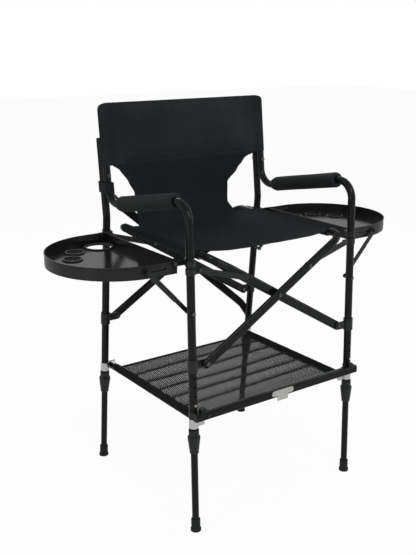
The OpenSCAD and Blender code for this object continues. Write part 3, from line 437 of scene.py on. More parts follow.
@dataclass(frozen=True)
class Webbing(Finish):
    """Ribbed polypropylene webbing."""

    colour: Point = (0.008, 0.009, 0.0098)
    light: Point = (0.02, 0.022, 0.0235)
    rib: float = 0.0021
    row: float = 0.0031

    def make(self) -> Material:
        """The material: ribs across the strap with a twill step, and loose fuzz."""
        g = self.graph()
        u, v, _ = g.parts(g.cloth_point())
        ribs = (v * (2.0 * math.pi / self.rib) + (u * 2300.0).sine() * 0.9).sine()
        rows = (u * (2.0 * math.pi / self.row)).sine()
        fuzz = g.clouds(g.where(), 420.0, 4.0)
        return g.surface({
            "Base Color": g.blend(ribs * 0.2 + rows * 0.15 + fuzz * 0.6, self.colour, self.light),
            "Roughness": 0.6 + 0.2 * fuzz,
            "Specular IOR Level": 0.12,
            "Normal": g.bump(ribs + 0.6 * rows, 0.0002, 0.8),
        })


@dataclass(frozen=True)
class Pale(Finish):
    """Pale studio floor that the camera and the gloss see as white, with soft shadows."""

    low: Point = (0.9, 0.9, 0.9)
    high: Point = (0.93, 0.93, 0.93)
    white: float = 0.94
    gloss_share: float = 0.4

    def make(self) -> Material:
        """The material: plain pale matt, mixed towards white for what looks at it."""
        g = self.graph()
        slow = g.clouds(g.where(), 0.6, 2.0)
        matt = g.node("ShaderNodeBsdfPrincipled", {}, {
            "Base Color": g.blend(slow, self.low, self.high),
            "Roughness": 0.9,
            "Specular IOR Level": 0.0,
        })
        glow = g.node("ShaderNodeEmission", {}, {"Color": (1, 1, 1, 1), "Strength": 1.0})
        mixed = g.node("ShaderNodeMixShader", {}, {
            0: g.watched(self.gloss_share) * self.white,
            1: matt.outputs["BSDF"],
            2: glow.outputs["Emission"],
        })
        g.node("ShaderNodeOutputMaterial", {}, {"Surface": mixed.outputs["Shader"]})
        return g.owner


FINISHES = {
    "tube": Enamel("enamel_gloss"),
    "flat": Enamel("enamel_satin", (0.0065, 0.0075, 0.008), 0.3, 0.3),
    "silver": Steel("bright_steel", (0.62, 0.61, 0.57)),
    "brackets": BracketSet("bracket_plate_and_enamel"),
    "bolt": Steel("bolt_steel", (0.11, 0.115, 0.12), 0.3),
    "brass": Steel("snap_brass", (0.72, 0.62, 0.38), 0.28),
    "plastic": Moulding("collar_plastic"),
    "rubber": Moulding("foot_rubber", (0.0095, 0.0105, 0.011), 0.6, 0.00006, 900.0, 0.2),
    "tray": GlossPlastic("tray_gloss"),
    "foam": Foam("grip_foam"),
    "canvas": Canvas("sling_canvas"),
    "net": Canvas("net_yarn", (0.013, 0.0145, 0.0145), (0.035, 0.038, 0.037), 0.0007, 0.0002),
    # the band's canvas is the sling canvas painted paler: painted light that lifts the upright band
    # to the seat's tone
    "band": Canvas("band_canvas", (0.0142, 0.0169, 0.0184), (0.0352, 0.0404, 0.0432)),
    "hem": Canvas("hem_canvas", (0.007, 0.0082, 0.0088), (0.018, 0.02, 0.021), 0.0006),
    "webbing": Webbing("strap_webbing"),
    "thread": Moulding("stitch_thread", (0.022, 0.024, 0.025), 0.6, 0.00002, 4000.0, 0.2),
}
_made: dict[str, Material] = {}


def finish_of(key: str) -> Material:
    """The material of one named finish, made on first use."""
    if key not in _made:
        _made[key] = FINISHES[key].make()
    return _made[key]


@dataclass(frozen=True)
class Lines:
    """Where a side frame's tubes run, as y at a height z, and how far the chair closes."""

    half_width: float = 0.280
    front_foot: float = -0.256191
    back_foot: float = 0.264809
    front_lean: float = math.radians(1.5)
    back_lean: float = math.radians(5.4)
    upper_lean: float = math.radians(6.0)
    bend: float = 0.796
    tube: float = 0.011
    upright_gap: float = 0.0237
    closing: float = 0.363578

    def front(self, z: float) -> float:
        """y of the front leg's centre."""
        return self.front_foot + z * math.tan(self.front_lean)

    def back(self, z: float) -> float:
        """y of the back leg's centre, below its bend."""
        return self.back_foot - z * math.tan(self.back_lean)

    def upper(self, z: float) -> float:
        """y of the back leg's centre, above its bend."""
        return self.back(self.bend) + (z - self.bend) * math.tan(self.upper_lean)

    def upright(self, z: float) -> float:
        """y of the upright's centre, in front of the back leg."""
        return self.upper(z) - self.upright_gap / math.cos(self.upper_lean)


LINES = Lines()


def clear() -> None:
    """Leaves edit mode and deselects everything."""
    if bpy.context.mode != "OBJECT":
        bpy.ops.object.mode_set(mode="OBJECT")
    bpy.ops.object.select_all(action="DESELECT")


def only(*pieces: Piece) -> None:
    """Selects the pieces alone, in object mode, and makes the first one active."""
    clear()
    for piece in pieces:
        piece.select_set(True)
    bpy.context.view_layer.objects.active = pieces[0]


def join(*pieces: Piece) -> Piece:
    """Joins the pieces into the first one."""
    only(*pieces)
    bpy.ops.object.join()
    return pieces[0]


def start(name: str, adder: Callable[..., set], **how: object) -> Piece:
    """Adds a primitive alone in the selection.

    Args:
        name: the piece's name.
        adder: the operator that adds the primitive.
        how: its settings.

    Returns:
        The new object.
    """
    clear()
    adder(**how)
    piece = bpy.context.view_layer.objects.active
    piece.name = piece.data.name = name
    return piece


def pick(piece: Piece, mode: str, test: Callable[[object], bool] = lambda part: True) -> None:
    """Enters edit mode and selects the faces, edges or vertices that pass a test.

    Args:
        piece: the object to edit.
        mode: FACE, EDGE or VERT.
        test: called with each bmesh element; without it, all are selected.
    """
    only(piece)
    bpy.ops.object.mode_set(mode="EDIT")
    bpy.ops.mesh.select_mode(type=mode)
    bpy.ops.mesh.select_all(action="DESELECT")
    mesh = bmesh.from_edit_mesh(piece.data)
    for part in {"FACE": mesh.faces, "EDGE": mesh.edges, "VERT": mesh.verts}[mode]:
        if test(part):
            part.select_set(True)
    mesh.select_flush_mode()
    bmesh.update_edit_mesh(piece.data)


def done(piece: Piece, angle: float = 35.0) -> None:
    """Leaves edit mode and shades the piece smooth up to an angle, in degrees."""
    only(piece)
    bpy.ops.object.shade_smooth_by_angle(angle=math.radians(angle))


def modify(piece: Piece, kind: str, **settings: object) -> None:
    """Adds a modifier, sets it and applies it."""
    only(piece)
    made = piece.modifiers.new(kind.lower(), kind)
    for key, value in settings.items():
        setattr(made, key, value)
    bpy.ops.object.modifier_apply(modifier=made.name)


def cut_off(piece: Piece, name: str, limit: float) -> Piece:
    """Cuts what lies beyond x = limit off a piece.

    Args:
        piece: the piece to cut, which keeps its middle.
        name: the name of what comes off.
        limit: where the cut runs; beyond means further from the middle.

    Returns:
        The part that came off.
    """
    pick(piece, "FACE")
    bpy.ops.mesh.bisect(plane_co=(limit, 0, 0), plane_no=(1, 0, 0))
    side = math.copysign(1.0, limit)
    pick(piece, "FACE", lambda f: f.calc_center_median().x * side > abs(limit))
    bpy.ops.mesh.separate(type="SELECTED")
    bpy.ops.object.mode_set(mode="OBJECT")
    end = next(o for o in bpy.context.selected_objects if o is not piece)
    end.name = end.data.name = name
    return end


def close_up(piece: Piece) -> None:
    """Lets a cloth between the side frames ride the left frame, on a mesh of its own."""
    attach(piece, "left_frame")
    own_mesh(piece)


def place(piece: Piece, spot: Matrix) -> None:
    """Moves the mesh itself, and leaves the object at the origin."""
    bpy.context.view_layer.update()
    piece.data.transform(spot @ piece.matrix_world)
    piece.matrix_world = Matrix.Identity(4)
    piece.data.update()


def copies(model: Piece, name: str, spots: list[Matrix]) -> Piece:
    """Copies a model to each spot, each with its own mesh, and joins them.

    Args:
        model: the piece modelled once, at the origin.
        name: the name of the joined piece.
        spots: where each copy goes.

    Returns:
        The joined piece.
    """
    made = []
    for spot in spots:
        one = model.copy()
        one.data = model.data.copy()
        bpy.context.collection.objects.link(one)
        one.data.transform(spot)
        made.append(one)
    whole = join(*made)
    whole.name = whole.data.name = name
    return whole


def dress(piece: Piece, finish: str) -> None:
    """Gives a new piece its one material."""
    piece.data.materials.clear()
    piece.data.materials.append(finish_of(finish))


def log(piece: Piece) -> None:
    """Reports one finished piece."""
    LOG.info("%s: %d faces", piece.name, len(piece.data.polygons))


def fit(piece: Piece, finish: str, body: str) -> None:
    """Dresses a hard piece, lets it ride a body and reports it."""
    dress(piece, finish)
    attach(piece, body)
    log(piece)


def facing(x: float, y: float, z: float, direction: Point) -> Matrix:
    """A place whose Z axis looks along a direction."""
    turn = Vector(direction).to_track_quat("Z", "Y").to_matrix().to_4x4()
    return Matrix.Translation((x, y, z)) @ turn


def ease(value: float, low: float, high: float) -> float:
    """A smooth step from 0 at low to 1 at high."""
    t = min(1.0, max(0.0, (value - low) / (high - low)))
    return t * t * (3.0 - 2.0 * t)


def ripple(x: float, y: float, z: float, height: float) -> float:
    """A smooth unevenness at a point of the noise, up to about a height."""
    return noise.noise(Vector((x, y, z))) * height


def sheet(name: str, columns: int, rows: int, point: Callable[[float, float], Vector],
          cut: Pair) -> Piece:
    """A sheet of cloth as a grid, with a UV map in metres along its yarns.

    Args:
        name: the piece's name.
        columns: cells along u.
        rows: cells along v.
        point: the place of (u, v), each from 0 to 1.
        cut: the sheet's size along u and v, in metres.

    Returns:
        The new object.
    """
    mesh = bpy.data.meshes.new(name)
    shape = bmesh.new()
    uv = shape.loops.layers.uv.new("UVMap")
    grid = [
        [shape.verts.new(point(i / columns, j / rows)) for i in range(columns + 1)]
        for j in range(rows + 1)
    ]
    for j in range(rows):
        for i in range(columns):
            face = shape.faces.new((grid[j][i], grid[j][i + 1], grid[j + 1][i + 1], grid[j + 1][i]))
            face.smooth = True
            for loop, (a, b) in zip(face.loops, ((0, 0), (1, 0), (1, 1), (0, 1))):
                loop[uv].uv = ((i + a) / columns * cut[0], (j + b) / rows * cut[1])
    shape.to_mesh(mesh)
    shape.free()
    piece = bpy.data.objects.new(name, mesh)
    bpy.context.collection.objects.link(piece)
    return piece


@dataclass(frozen=True)
class Draping:
    """One cloth simulation, whose result stays in the mesh."""

    frames: int = 20
    gravity: float = 0.0
    pressure: float = 0.0
    growth: float = 0.01
    cap: float = 0.01
    stiffness: float = 18.0
    bending: float = 0.6
    damping: float = 12.0

    def run(self, piece: Piece, held: Callable[[Vector], float]) -> None:
        """Runs the cloth from frame 1, caps each point's move and keeps the result.

        Args:
            piece: the sheet.
            held: how firmly the point at a place is held, from 0 to 1.
        """
        rest = [v.co.copy() for v in piece.data.vertices]
        pins = piece.vertex_groups.new(name="held")
        for index, spot in enumerate(rest):
            pins.add([index], held(spot), "REPLACE")
        cloth = piece.modifiers.new("cloth", "CLOTH")
        wanted = {
            "quality": 6, "mass": 0.25,
            "tension_stiffness": self.stiffness, "compression_stiffness": self.stiffness,
            "shear_stiffness": self.stiffness * 0.4, "bending_stiffness": self.bending,
            "tension_damping": self.damping, "compression_damping": self.damping,
            "air_damping": 4.0, "vertex_group_mass": "held", "pin_stiffness": 1.0,
            "shrink_min": -self.growth,
        }
        if self.pressure:
            wanted |= {"use_pressure": True, "uniform_pressure_force": self.pressure}
        for key, value in wanted.items():
            setattr(cloth.settings, key, value)
        cloth.settings.effector_weights.gravity = self.gravity
        cloth.collision_settings.use_collision = False
        cloth.point_cache.frame_start = 1
        cloth.point_cache.frame_end = self.frames
        scene = bpy.context.scene
        for frame in range(1, self.frames + 1):
            scene.frame_set(frame)
        settled = piece.evaluated_get(bpy.context.evaluated_depsgraph_get())
        moved = [v.co.copy() for v in settled.to_mesh().vertices]
        settled.to_mesh_clear()
        piece.modifiers.remove(cloth)
        scene.frame_set(1)
        for vertex, was, now in zip(piece.data.vertices, rest, moved):
            step = now - was
            if step.length > self.cap:
                step *= self.cap / step.length
            vertex.co = was + step
        piece.vertex_groups.clear()
        piece.data.update()


def stitches(name: str, cloth: Piece, runs: list[list[Vector]], outward: Vector,
             pitch: float = 0.0042) -> Piece:
    """Short threads laid on a cloth along runs of points.

    Args:
        name: the piece's name.
        cloth: the cloth that they lie on.
        runs: the lines to sew along.
        outward: the way the seen side faces.
        pitch: length of one stitch with its gap.

    Returns:
        All the threads as one piece, dressed.
    """
    away, reach, lift = 0.06, 0.12, 0.00012
    tree = BVHTree.FromObject(cloth, bpy.context.evaluated_depsgraph_get())
    thread = start("thread", bpy.ops.mesh.primitive_cylinder_add, vertices=6,
                   radius=0.00035, depth=pitch * 0.62, rotation=(0, math.pi / 2, 0))
    pick(thread, "FACE", lambda f: len(f.verts) == 6)
    bpy.ops.mesh.inset(thickness=0.00012, depth=0.0002)
    done(thread, 60)
    place(thread, Matrix.Identity(4))
    spots = []
    for run in runs:
        for a, b in zip(run, run[1:]):
            count = max(1, int((b - a).length / pitch))
            for k in range(count):
                aim = a.lerp(b, (k + 0.5) / count)
                spot, normal, *_ = tree.ray_cast(aim + outward * away, -outward, reach)
                if spot is None:
                    continue
                along = (b - a).normalized()
                up = normal if normal.dot(outward) > 0 else -normal
                along = (along - up * along.dot(up)).normalized()
                turn = Matrix((along, up.cross(along), up)).transposed().to_4x4()
                spots.append(Matrix.Translation(spot + up * lift) @ turn)
    made = copies(thread, name, spots)
    bpy.data.objects.remove(thread)
    dress(made, "thread")
    return made


def domes(name: str, radius: float, spots: list[Matrix], body: str) -> None:
    """Copies a rivet's dome to its spots and lets the copies ride.

    Args:
        name: the piece's name.
        radius: the dome's radius.
        spots: where each dome sits.
        body: the body that carries them.
    """
    dome = start("dome", bpy.ops.mesh.primitive_uv_sphere_add, segments=20,
                 ring_count=12, radius=radius)
    pick(dome, "FACE")
    bpy.ops.mesh.bisect(plane_co=(0, 0, 0.0001), plane_no=(0, 0, 1), use_fill=True,
                        clear_inner=True)
    bpy.ops.mesh.select_all(action="SELECT")
    bpy.ops.transform.resize(value=(1, 1, 0.42), center_override=(0, 0, 0))
    done(dome, 50)
    fit(copies(dome, name, spots), "bolt", body)
    bpy.data.objects.remove(dome)


@dataclass
class FrameDomes:
    """Domes on the pivots, the stay bolts and the upper bolts of the side frames."""

    lines: Lines = LINES
    radius: float = 0.0048
    pivot_x: float = 0.240
    pivot_z: float = 0.479
    stay_z: float = 0.621
    upper_z: float = 0.918

    def build(self) -> None:
        """Adds the three domes of each side frame."""
        out, back = (0, -1, 0), (0, 1, 0)
        pivot_y = {
            Side.LEFT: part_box("left_frame_bolts")[0][1] + 0.0003,
            Side.RIGHT: self.lines.front(self.pivot_z) - 0.0049,
        }
        for side in Side:
            x = side.value * self.lines.half_width
            domes(side.of("frame_domes"), self.radius, [
                facing(side.value * self.pivot_x, pivot_y[side], self.pivot_z, out),
                facing(x, self.lines.front(self.stay_z) - 0.0128, self.stay_z, out),
                facing(x, self.lines.upper(self.upper_z) + 0.0136, self.upper_z, back),
            ], side.of("frame"))


@dataclass
class JarWells:
    """Short wells that hang from the jar rings of each tray."""

    spots: tuple[Pair, ...] = ((0.435, 0.0906), (0.473, 0.0286))
    bore: float = 0.0234
    wall: float = 0.0012
    top: float = 0.729
    deep: float = 0.0048

    def build(self) -> None:
        """Makes one well and copies it to both trays."""
        well = start("well", bpy.ops.mesh.primitive_cylinder_add, vertices=56,
                     radius=self.bore, depth=self.deep, end_fill_type="NOTHING")
        modify(well, "SOLIDIFY", thickness=self.wall, offset=1.0)
        done(well, 40)
        for side in Side:
            spots = [Matrix.Translation((side.value * x, y, self.top - self.deep / 2))
                     for x, y in self.spots]
            fit(copies(well, side.of("jar_wells"), spots),
                "plastic", side.of("tray_unit"))
        bpy.data.objects.remove(well)


@dataclass
class SlotCovers:
    """Strips riveted over the slots on the inner faces of the tray walls."""

    x: float = 0.3625
    z: float = 0.742
    size: Point = (0.085, 0.0012, 0.015)
    faces: tuple[tuple[End, float], ...] = ((End.FRONT, -0.2109), (End.REAR, 0.1651))
    rivets: tuple[float, ...] = (0.326, 0.345, 0.399)
    rivet_radius: float = 0.0021

    def build(self) -> None:
        """Makes one strip, copies it to the four walls and rivets it."""
        strip = start("strip", bpy.ops.mesh.primitive_cube_add, size=1.0)
        place(strip, Matrix.Diagonal((*self.size, 1.0)))
        modify(strip, "BEVEL", width=0.0004, segments=2)
        done(strip)
        thick = self.size[1]
        for side in Side:
            spots, heads = [], []
            for end, face in self.faces:
                middle = face - end.value * thick / 2
                inner = face - end.value * thick
                spots.append(Matrix.Translation((side.value * self.x, middle, self.z)))
                heads += [facing(side.value * x, inner, self.z, (0, -end.value, 0))
                          for x in self.rivets]
            tray = side.of("tray_unit")
            fit(copies(strip, side.of("slot_covers"), spots), "tray", tray)
            domes(side.of("cover_rivets"), self.rivet_radius, heads, tray)
        bpy.data.objects.remove(strip)


@dataclass
class BackBand:
    """Padded back band: two layers of canvas, sewn round a pad, with a sleeve at each end."""

    lines: Lines = LINES
    bottom: float = 0.944
    top: float = 1.118
    half: float = 0.280
    sleeve: float = 0.0124
    turn: float = 0.024
    tangent: float = 0.026
    seam: float = 0.222
    flat: float = 0.0017
    pad: float = 0.0055
    corner: float = 0.024
    canvas: float = 0.0009

    def height(self) -> float:
        """Length of the band up its lean."""
        return (self.top - self.bottom) / math.cos(self.lines.upper_lean)

    def out(self, x: float, n: float, s: float) -> Vector:
        """The place of a point x across, n behind and s up the band."""
        a = self.lines.upper_lean
        y = self.lines.upright(self.bottom) + s * math.sin(a) + n * math.cos(a)
        return Vector((x, y, self.bottom + s * math.cos(a) - n * math.sin(a)))

    def edge(self, s: float) -> float:
        """Half width at s, with its rounded upper corners."""
        full = self.half + self.sleeve - 0.0002
        over = s - (self.height() - self.corner)
        if over <= 0:
            return full
        return full - self.corner + math.sqrt(max(0.0, self.corner**2 - over**2))

    def thick(self, x: float, s: float, front: bool) -> float:
        """Half thickness of the band at a point."""
        far = abs(x)
        bulge = 0.0
        if far > self.half - self.sleeve:
            bulge = math.sqrt(max(0.0, self.sleeve**2 - (far - self.half) ** 2))
        tangent = self.half - self.tangent
        if tangent < far <= self.half:
            bulge = max(bulge, self.sleeve * ease(far, tangent, self.half - 0.004) * 0.96)
        pad = 0.0
        if far < self.seam:
            reach = min(self.seam - far, s - 0.006, self.height() - 0.008 - s)
            pad = (self.pad if front else self.pad * 0.7) * ease(reach, 0.0, 0.008)
        close = self.height() - s
        shut = math.sqrt(max(0.0, 1 - (1 - min(1.0, close / 0.012)) ** 2))
        if far < tangent:
            shut = min(shut, 0.35 + 0.65 * ease(s, 0.0, 0.01))
        return max(0.0004, max(self.flat + pad, bulge) * shut)

    def layer(self, front: bool) -> Piece:
        """One layer of canvas, with its columns closer together at the sleeves."""
        length = self.height()

        def spot(u: float, v: float) -> Vector:
            """The place of a point of the layer."""
            s = length * (1 - (1 - v) ** 1.15)
            t = 2 * u - 1
            x = (math.sin(t * math.pi / 2) * 0.45 + t * 0.55) * self.edge(s)
            thick = 0.0 if u in (0.0, 1.0) else self.thick(x, s, front)
            return self.out(x, -thick if front else thick, s)

        return sheet("band", 150, 44, spot, (2 * (self.half + self.sleeve), length))

    def skin(self) -> Piece:
        """Front and back layer as one open-bottomed skin."""
        face, rear = self.layer(True), self.layer(False)
        pick(rear, "FACE")
        bpy.ops.mesh.flip_normals()
        pick(join(face, rear), "VERT")
        bpy.ops.mesh.remove_doubles(threshold=0.0009)
        only(face)
        face.name = "padded_back_band"
        return face

    def crease(self, band: Piece) -> None:
        """Creases the cloth beside the pad, and waves the pad a little."""
        for vertex in band.data.vertices:
            co = vertex.co
            far = abs(co.x)
            if self.seam + 0.006 < far < self.half - 0.012:
                fade = ease(self.height() - (co.z - self.bottom), 0.0, 0.02)
                co.y += ripple(co.x * 60, co.z * 26, 3.0, 0.0022) * fade
            elif far < self.seam:
                co.y += ripple(co.x * 22, co.z * 30, 7.0, 0.0012)

    def held(self, spot: Vector) -> float:
        """Holds the sleeves, the seams and the edges; the pad is free."""
        far = abs(spot.x)
        s = (spot.z - self.bottom) / math.cos(self.lines.upper_lean)
        if far > self.seam:
            return 1.0 if far > self.half - 0.022 or s < 0.006 else 0.9
        return 1.0 - ease(min(self.seam - far, s - 0.007, self.height() - 0.01 - s), 0.0, 0.01)

    def sewing(self) -> list[list[Vector]]:
        """The runs of stitches: round the pad, and beside the sleeves."""
        length = self.height()
        seam, beside, fold = self.seam, self.seam + 0.006, self.half - self.turn

        def upright(x: float, top: float) -> list[Vector]:
            """A run up the band at x, to a distance from its top."""
            return [self.out(x, 0, 0.004), self.out(x, 0, length - top)]

        return [
            *(upright(x, 0.006) for x in (-seam, -beside, seam, beside)),
            *([self.out(-seam, 0, s), self.out(seam, 0, s)] for s in (0.0065, length - 0.0085)),
            *(upright(x, 0.012) for x in (-fold, fold)),
        ]

    def build(self) -> None:
        """Makes the band, its creases, its cloth run and its stitches."""
        band = self.skin()
        self.crease(band)
        Draping(frames=18, pressure=5.0, growth=0.012, cap=0.006).run(band, self.held)
        fold = self.half - self.turn
        ends = {side: cut_off(band, side.of("band_sleeve"), side.value * fold) for side in Side}
        for piece in (band, *ends.values()):
            modify(piece, "SOLIDIFY", thickness=self.canvas, offset=-1.0)
            done(piece, 60)
            # the band and its sleeves take the paler canvas, painted light on the upright band
            dress(piece, "band")
            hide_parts("back_panel")
        thread = stitches("back_band_stitches", band, self.sewing(), Vector((0, -1, 0)))
        for piece in (band, thread):
            close_up(piece)
            log(piece)
        for side, end in ends.items():
            side.of("front_tube")
            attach(end, side.of("frame"))
            log(end)


@dataclass
class SlingSeat:
    """Sling seat: a canvas sheet with a sleeve round each rail."""

    rail_x: float = 0.22544
    rail_z: float = 0.75867
    front: float = -0.2022
    back: float = 0.1774
    depth: float = 0.332
    overhang: float = 0.042
    wrap: float = 0.0128
    sag: float = 0.012
    around: float = 262.0
    tail: float = 0.03
    canvas: float = 0.0013

    def sheet_y(self, u: float, v: float) -> float:
        """Front to back place of the sheet at u from -1 to 1 and v from 0 to 1."""
        return (
            self.front + 0.0015 + v * self.depth
            - self.overhang * (1 - abs(u) ** 5) * (1 - v)
        )

    def cloth(self) -> Piece:
        """The flat middle of the sling, before it sags."""
        wide = self.rail_x + 0.001

        def spot(u: float, v: float) -> Vector:
            """The place of a point of the sheet."""
            side = 2 * u - 1
            drop = self.sag * (1 - side**2) * (
                0.12 + 0.4 * v + 0.6 * math.sin(math.pi * v) ** 0.7)
            crease = ripple(side * 5, v * 6, 2.0, 0.0016) * (1 - side**2)
            return Vector((side * wide, self.sheet_y(side, v),
                           self.rail_z + self.wrap - 0.0002 - drop + crease))

        return sheet("sling_seat", 84, 60, spot, (2 * wide, self.depth + self.overhang))

    def held(self, spot: Vector) -> float:
        """Holds the two sides on their rails and the back edge."""
        side = 1.0 if abs(spot.x) > self.rail_x - 0.002 else 0.0
        rear = ease(spot.y, self.front + self.depth - 0.012, self.front + self.depth)
        return max(side, 0.75 * rear)

    def sleeve(self, side: Side) -> Piece:
        """The tunnel of canvas round one rail, sewn shut below the sheet."""
        along = 40

        def spot(u: float, v: float) -> Vector:
            """The place of a point of the tunnel."""
            y = self.front + (self.back - self.front) * v
            angle = math.radians(90 - self.around * u)
            radius = self.wrap + ripple(u * 5, v * 12, side.value, 0.0006)
            x = radius * math.cos(angle)
            z = radius * math.sin(angle)
            return Vector((side.value * (self.rail_x + x), y, self.rail_z + z))

        def flap(u: float, v: float) -> Vector:
            """The sewn tail from the tunnel in to the sheet's underside."""
            y = self.front + 0.004 + (self.depth - 0.01) * v
            x = -self.wrap * 0.99 - self.tail * u
            z = -self.wrap * 0.14 + (self.wrap * 0.72 + 0.0008) * ease(u, 0.0, 1.0)
            return Vector((side.value * (self.rail_x + x), y, self.rail_z + z - 0.0042 * u))

        girth = 2 * math.pi * self.wrap * self.around / 360
        tunnel = sheet("sleeve", 40, along, spot, (girth, self.back - self.front))
        return join(tunnel, sheet("flap", 8, along, flap, (self.tail, self.depth)))

    def sewing(self) -> list[list[Vector]]:
        """The runs of stitches: two along the front hem, two beside each sleeve."""
        shares = [-0.93 + 1.86 * k / 20 for k in range(21)]
        runs = [
            [Vector((u * self.rail_x, self.sheet_y(u, 0) + inset, self.rail_z)) for u in shares]
            for inset in (0.012, 0.0165)
        ]
        for side in Side:
            for inset in (0.024, 0.029):
                x = side.value * (self.rail_x - inset)
                runs.append([Vector((x, self.sheet_y(0.88, 0) + 0.008, self.rail_z)),
                             Vector((x, self.front + self.depth - 0.008, self.rail_z))])
        return runs

    def build(self) -> None:
        """Makes the sling, sags it, adds its sleeves and stitches."""
        seat = self.cloth()
        Draping(frames=22, gravity=0.3, growth=0.002, cap=0.003).run(seat, self.held)
        join(seat, *(self.sleeve(side) for side in Side))
        modify(seat, "SOLIDIFY", thickness=self.canvas, offset=0.0)
        done(seat, 60)
        dress(seat, "canvas")
        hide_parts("seat")
        thread = stitches("sling_seat_stitches", seat, self.sewing(), Vector((0, 0, 1)))
        for piece in (seat, thread):
            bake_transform(piece)
            log(piece)


@dataclass
class LowerBack:
    """Lower back cloth between the sling's back edge and the band."""

    lines: Lines = LINES
    sling_edge: float = 0.7685
    sling_sag: float = 0.008
    rail_x: float = 0.2264
    band_bottom: float = 0.944
    high: float = 0.9455
    seat_back: float = 0.1328
    canvas: float = 0.0012
    half: float = 0.256
    heights: tuple[float, ...] = (0, 0.1, 0.24, 0.55, 0.72, 0.9, 1)
    left: tuple[float, ...] = (0.206, 0.202, 0.199, 0.197, 0.212, 0.236, 0.262)
    right: tuple[float, ...] = (0.186, 0.144, 0.128, 0.138, 0.182, 0.218, 0.262)

    def width(self, t: float, side: Side) -> float:
        """Reach of the cloth to one side at t up its height."""
        table = self.left if side is Side.LEFT else self.right
        for k, (a, b) in enumerate(zip(self.heights, self.heights[1:])):
            if t <= b:
                share = ease(t, a, b) * 0.5 + 0.5 * (t - a) / (b - a)
                return table[k] + (table[k + 1] - table[k]) * share
        return table[-1]

    def foot(self, x: float) -> float:
        """Height of the sling's sagging back edge at x."""
        return self.sling_edge - self.sling_sag * (1 - (x / self.rail_x) ** 2)

    def spot(self, u: float, v: float) -> Vector:
        """The place of a point of the cloth."""
        side = 2 * u - 1
        x = side * self.width(v, Side.RIGHT if side > 0 else Side.LEFT)
        top = self.lines.upright(self.band_bottom)
        slack = 1 - side**2
        arch = math.sin(math.pi * v)
        y = self.seat_back * (1 - v) + (top + 0.0005) * v + 0.009 * arch * slack
        y += 0.0028 * math.sin(5 * math.pi * v + 2.1 * side**2) * slack * arch
        y += ripple(x * 11, v * 5, 4.0, 0.003) * slack * arch
        return Vector((x, y, self.foot(x) * (1 - v) + v * self.high))

    def held(self, spot: Vector) -> float:
        """Holds the upper and lower edges."""
        foot = self.foot(spot.x)
        t = (spot.z - foot) / (self.high - foot)
        return 1.0 if t < 0.04 or t > 0.97 else 0.0

    def build(self) -> None:
        """Makes the cloth, lets it settle and sews its hems."""
        cloth = sheet("lower_back_cloth", 76, 44, self.spot, (0.46, 0.2))
        Draping(frames=20, gravity=0.8, growth=0.012, cap=0.009, bending=1.2).run(
            cloth, self.held)
        modify(cloth, "SOLIDIFY", thickness=self.canvas, offset=0.0)
        done(cloth, 60)
        dress(cloth, "canvas")
        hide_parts("lower_back")
        sew = [
            [self.spot(0.5 + side * (0.5 - inset / 0.4), 0.05 + 0.9 * k / 15) for k in range(16)]
            for side in (-1, 1)
            for inset in (0.006, 0.010)
        ]
        thread = stitches("lower_back_stitches", cloth, sew, Vector((0, -1, 0)))
        for piece in (cloth, thread):
            close_up(piece)
            log(piece)


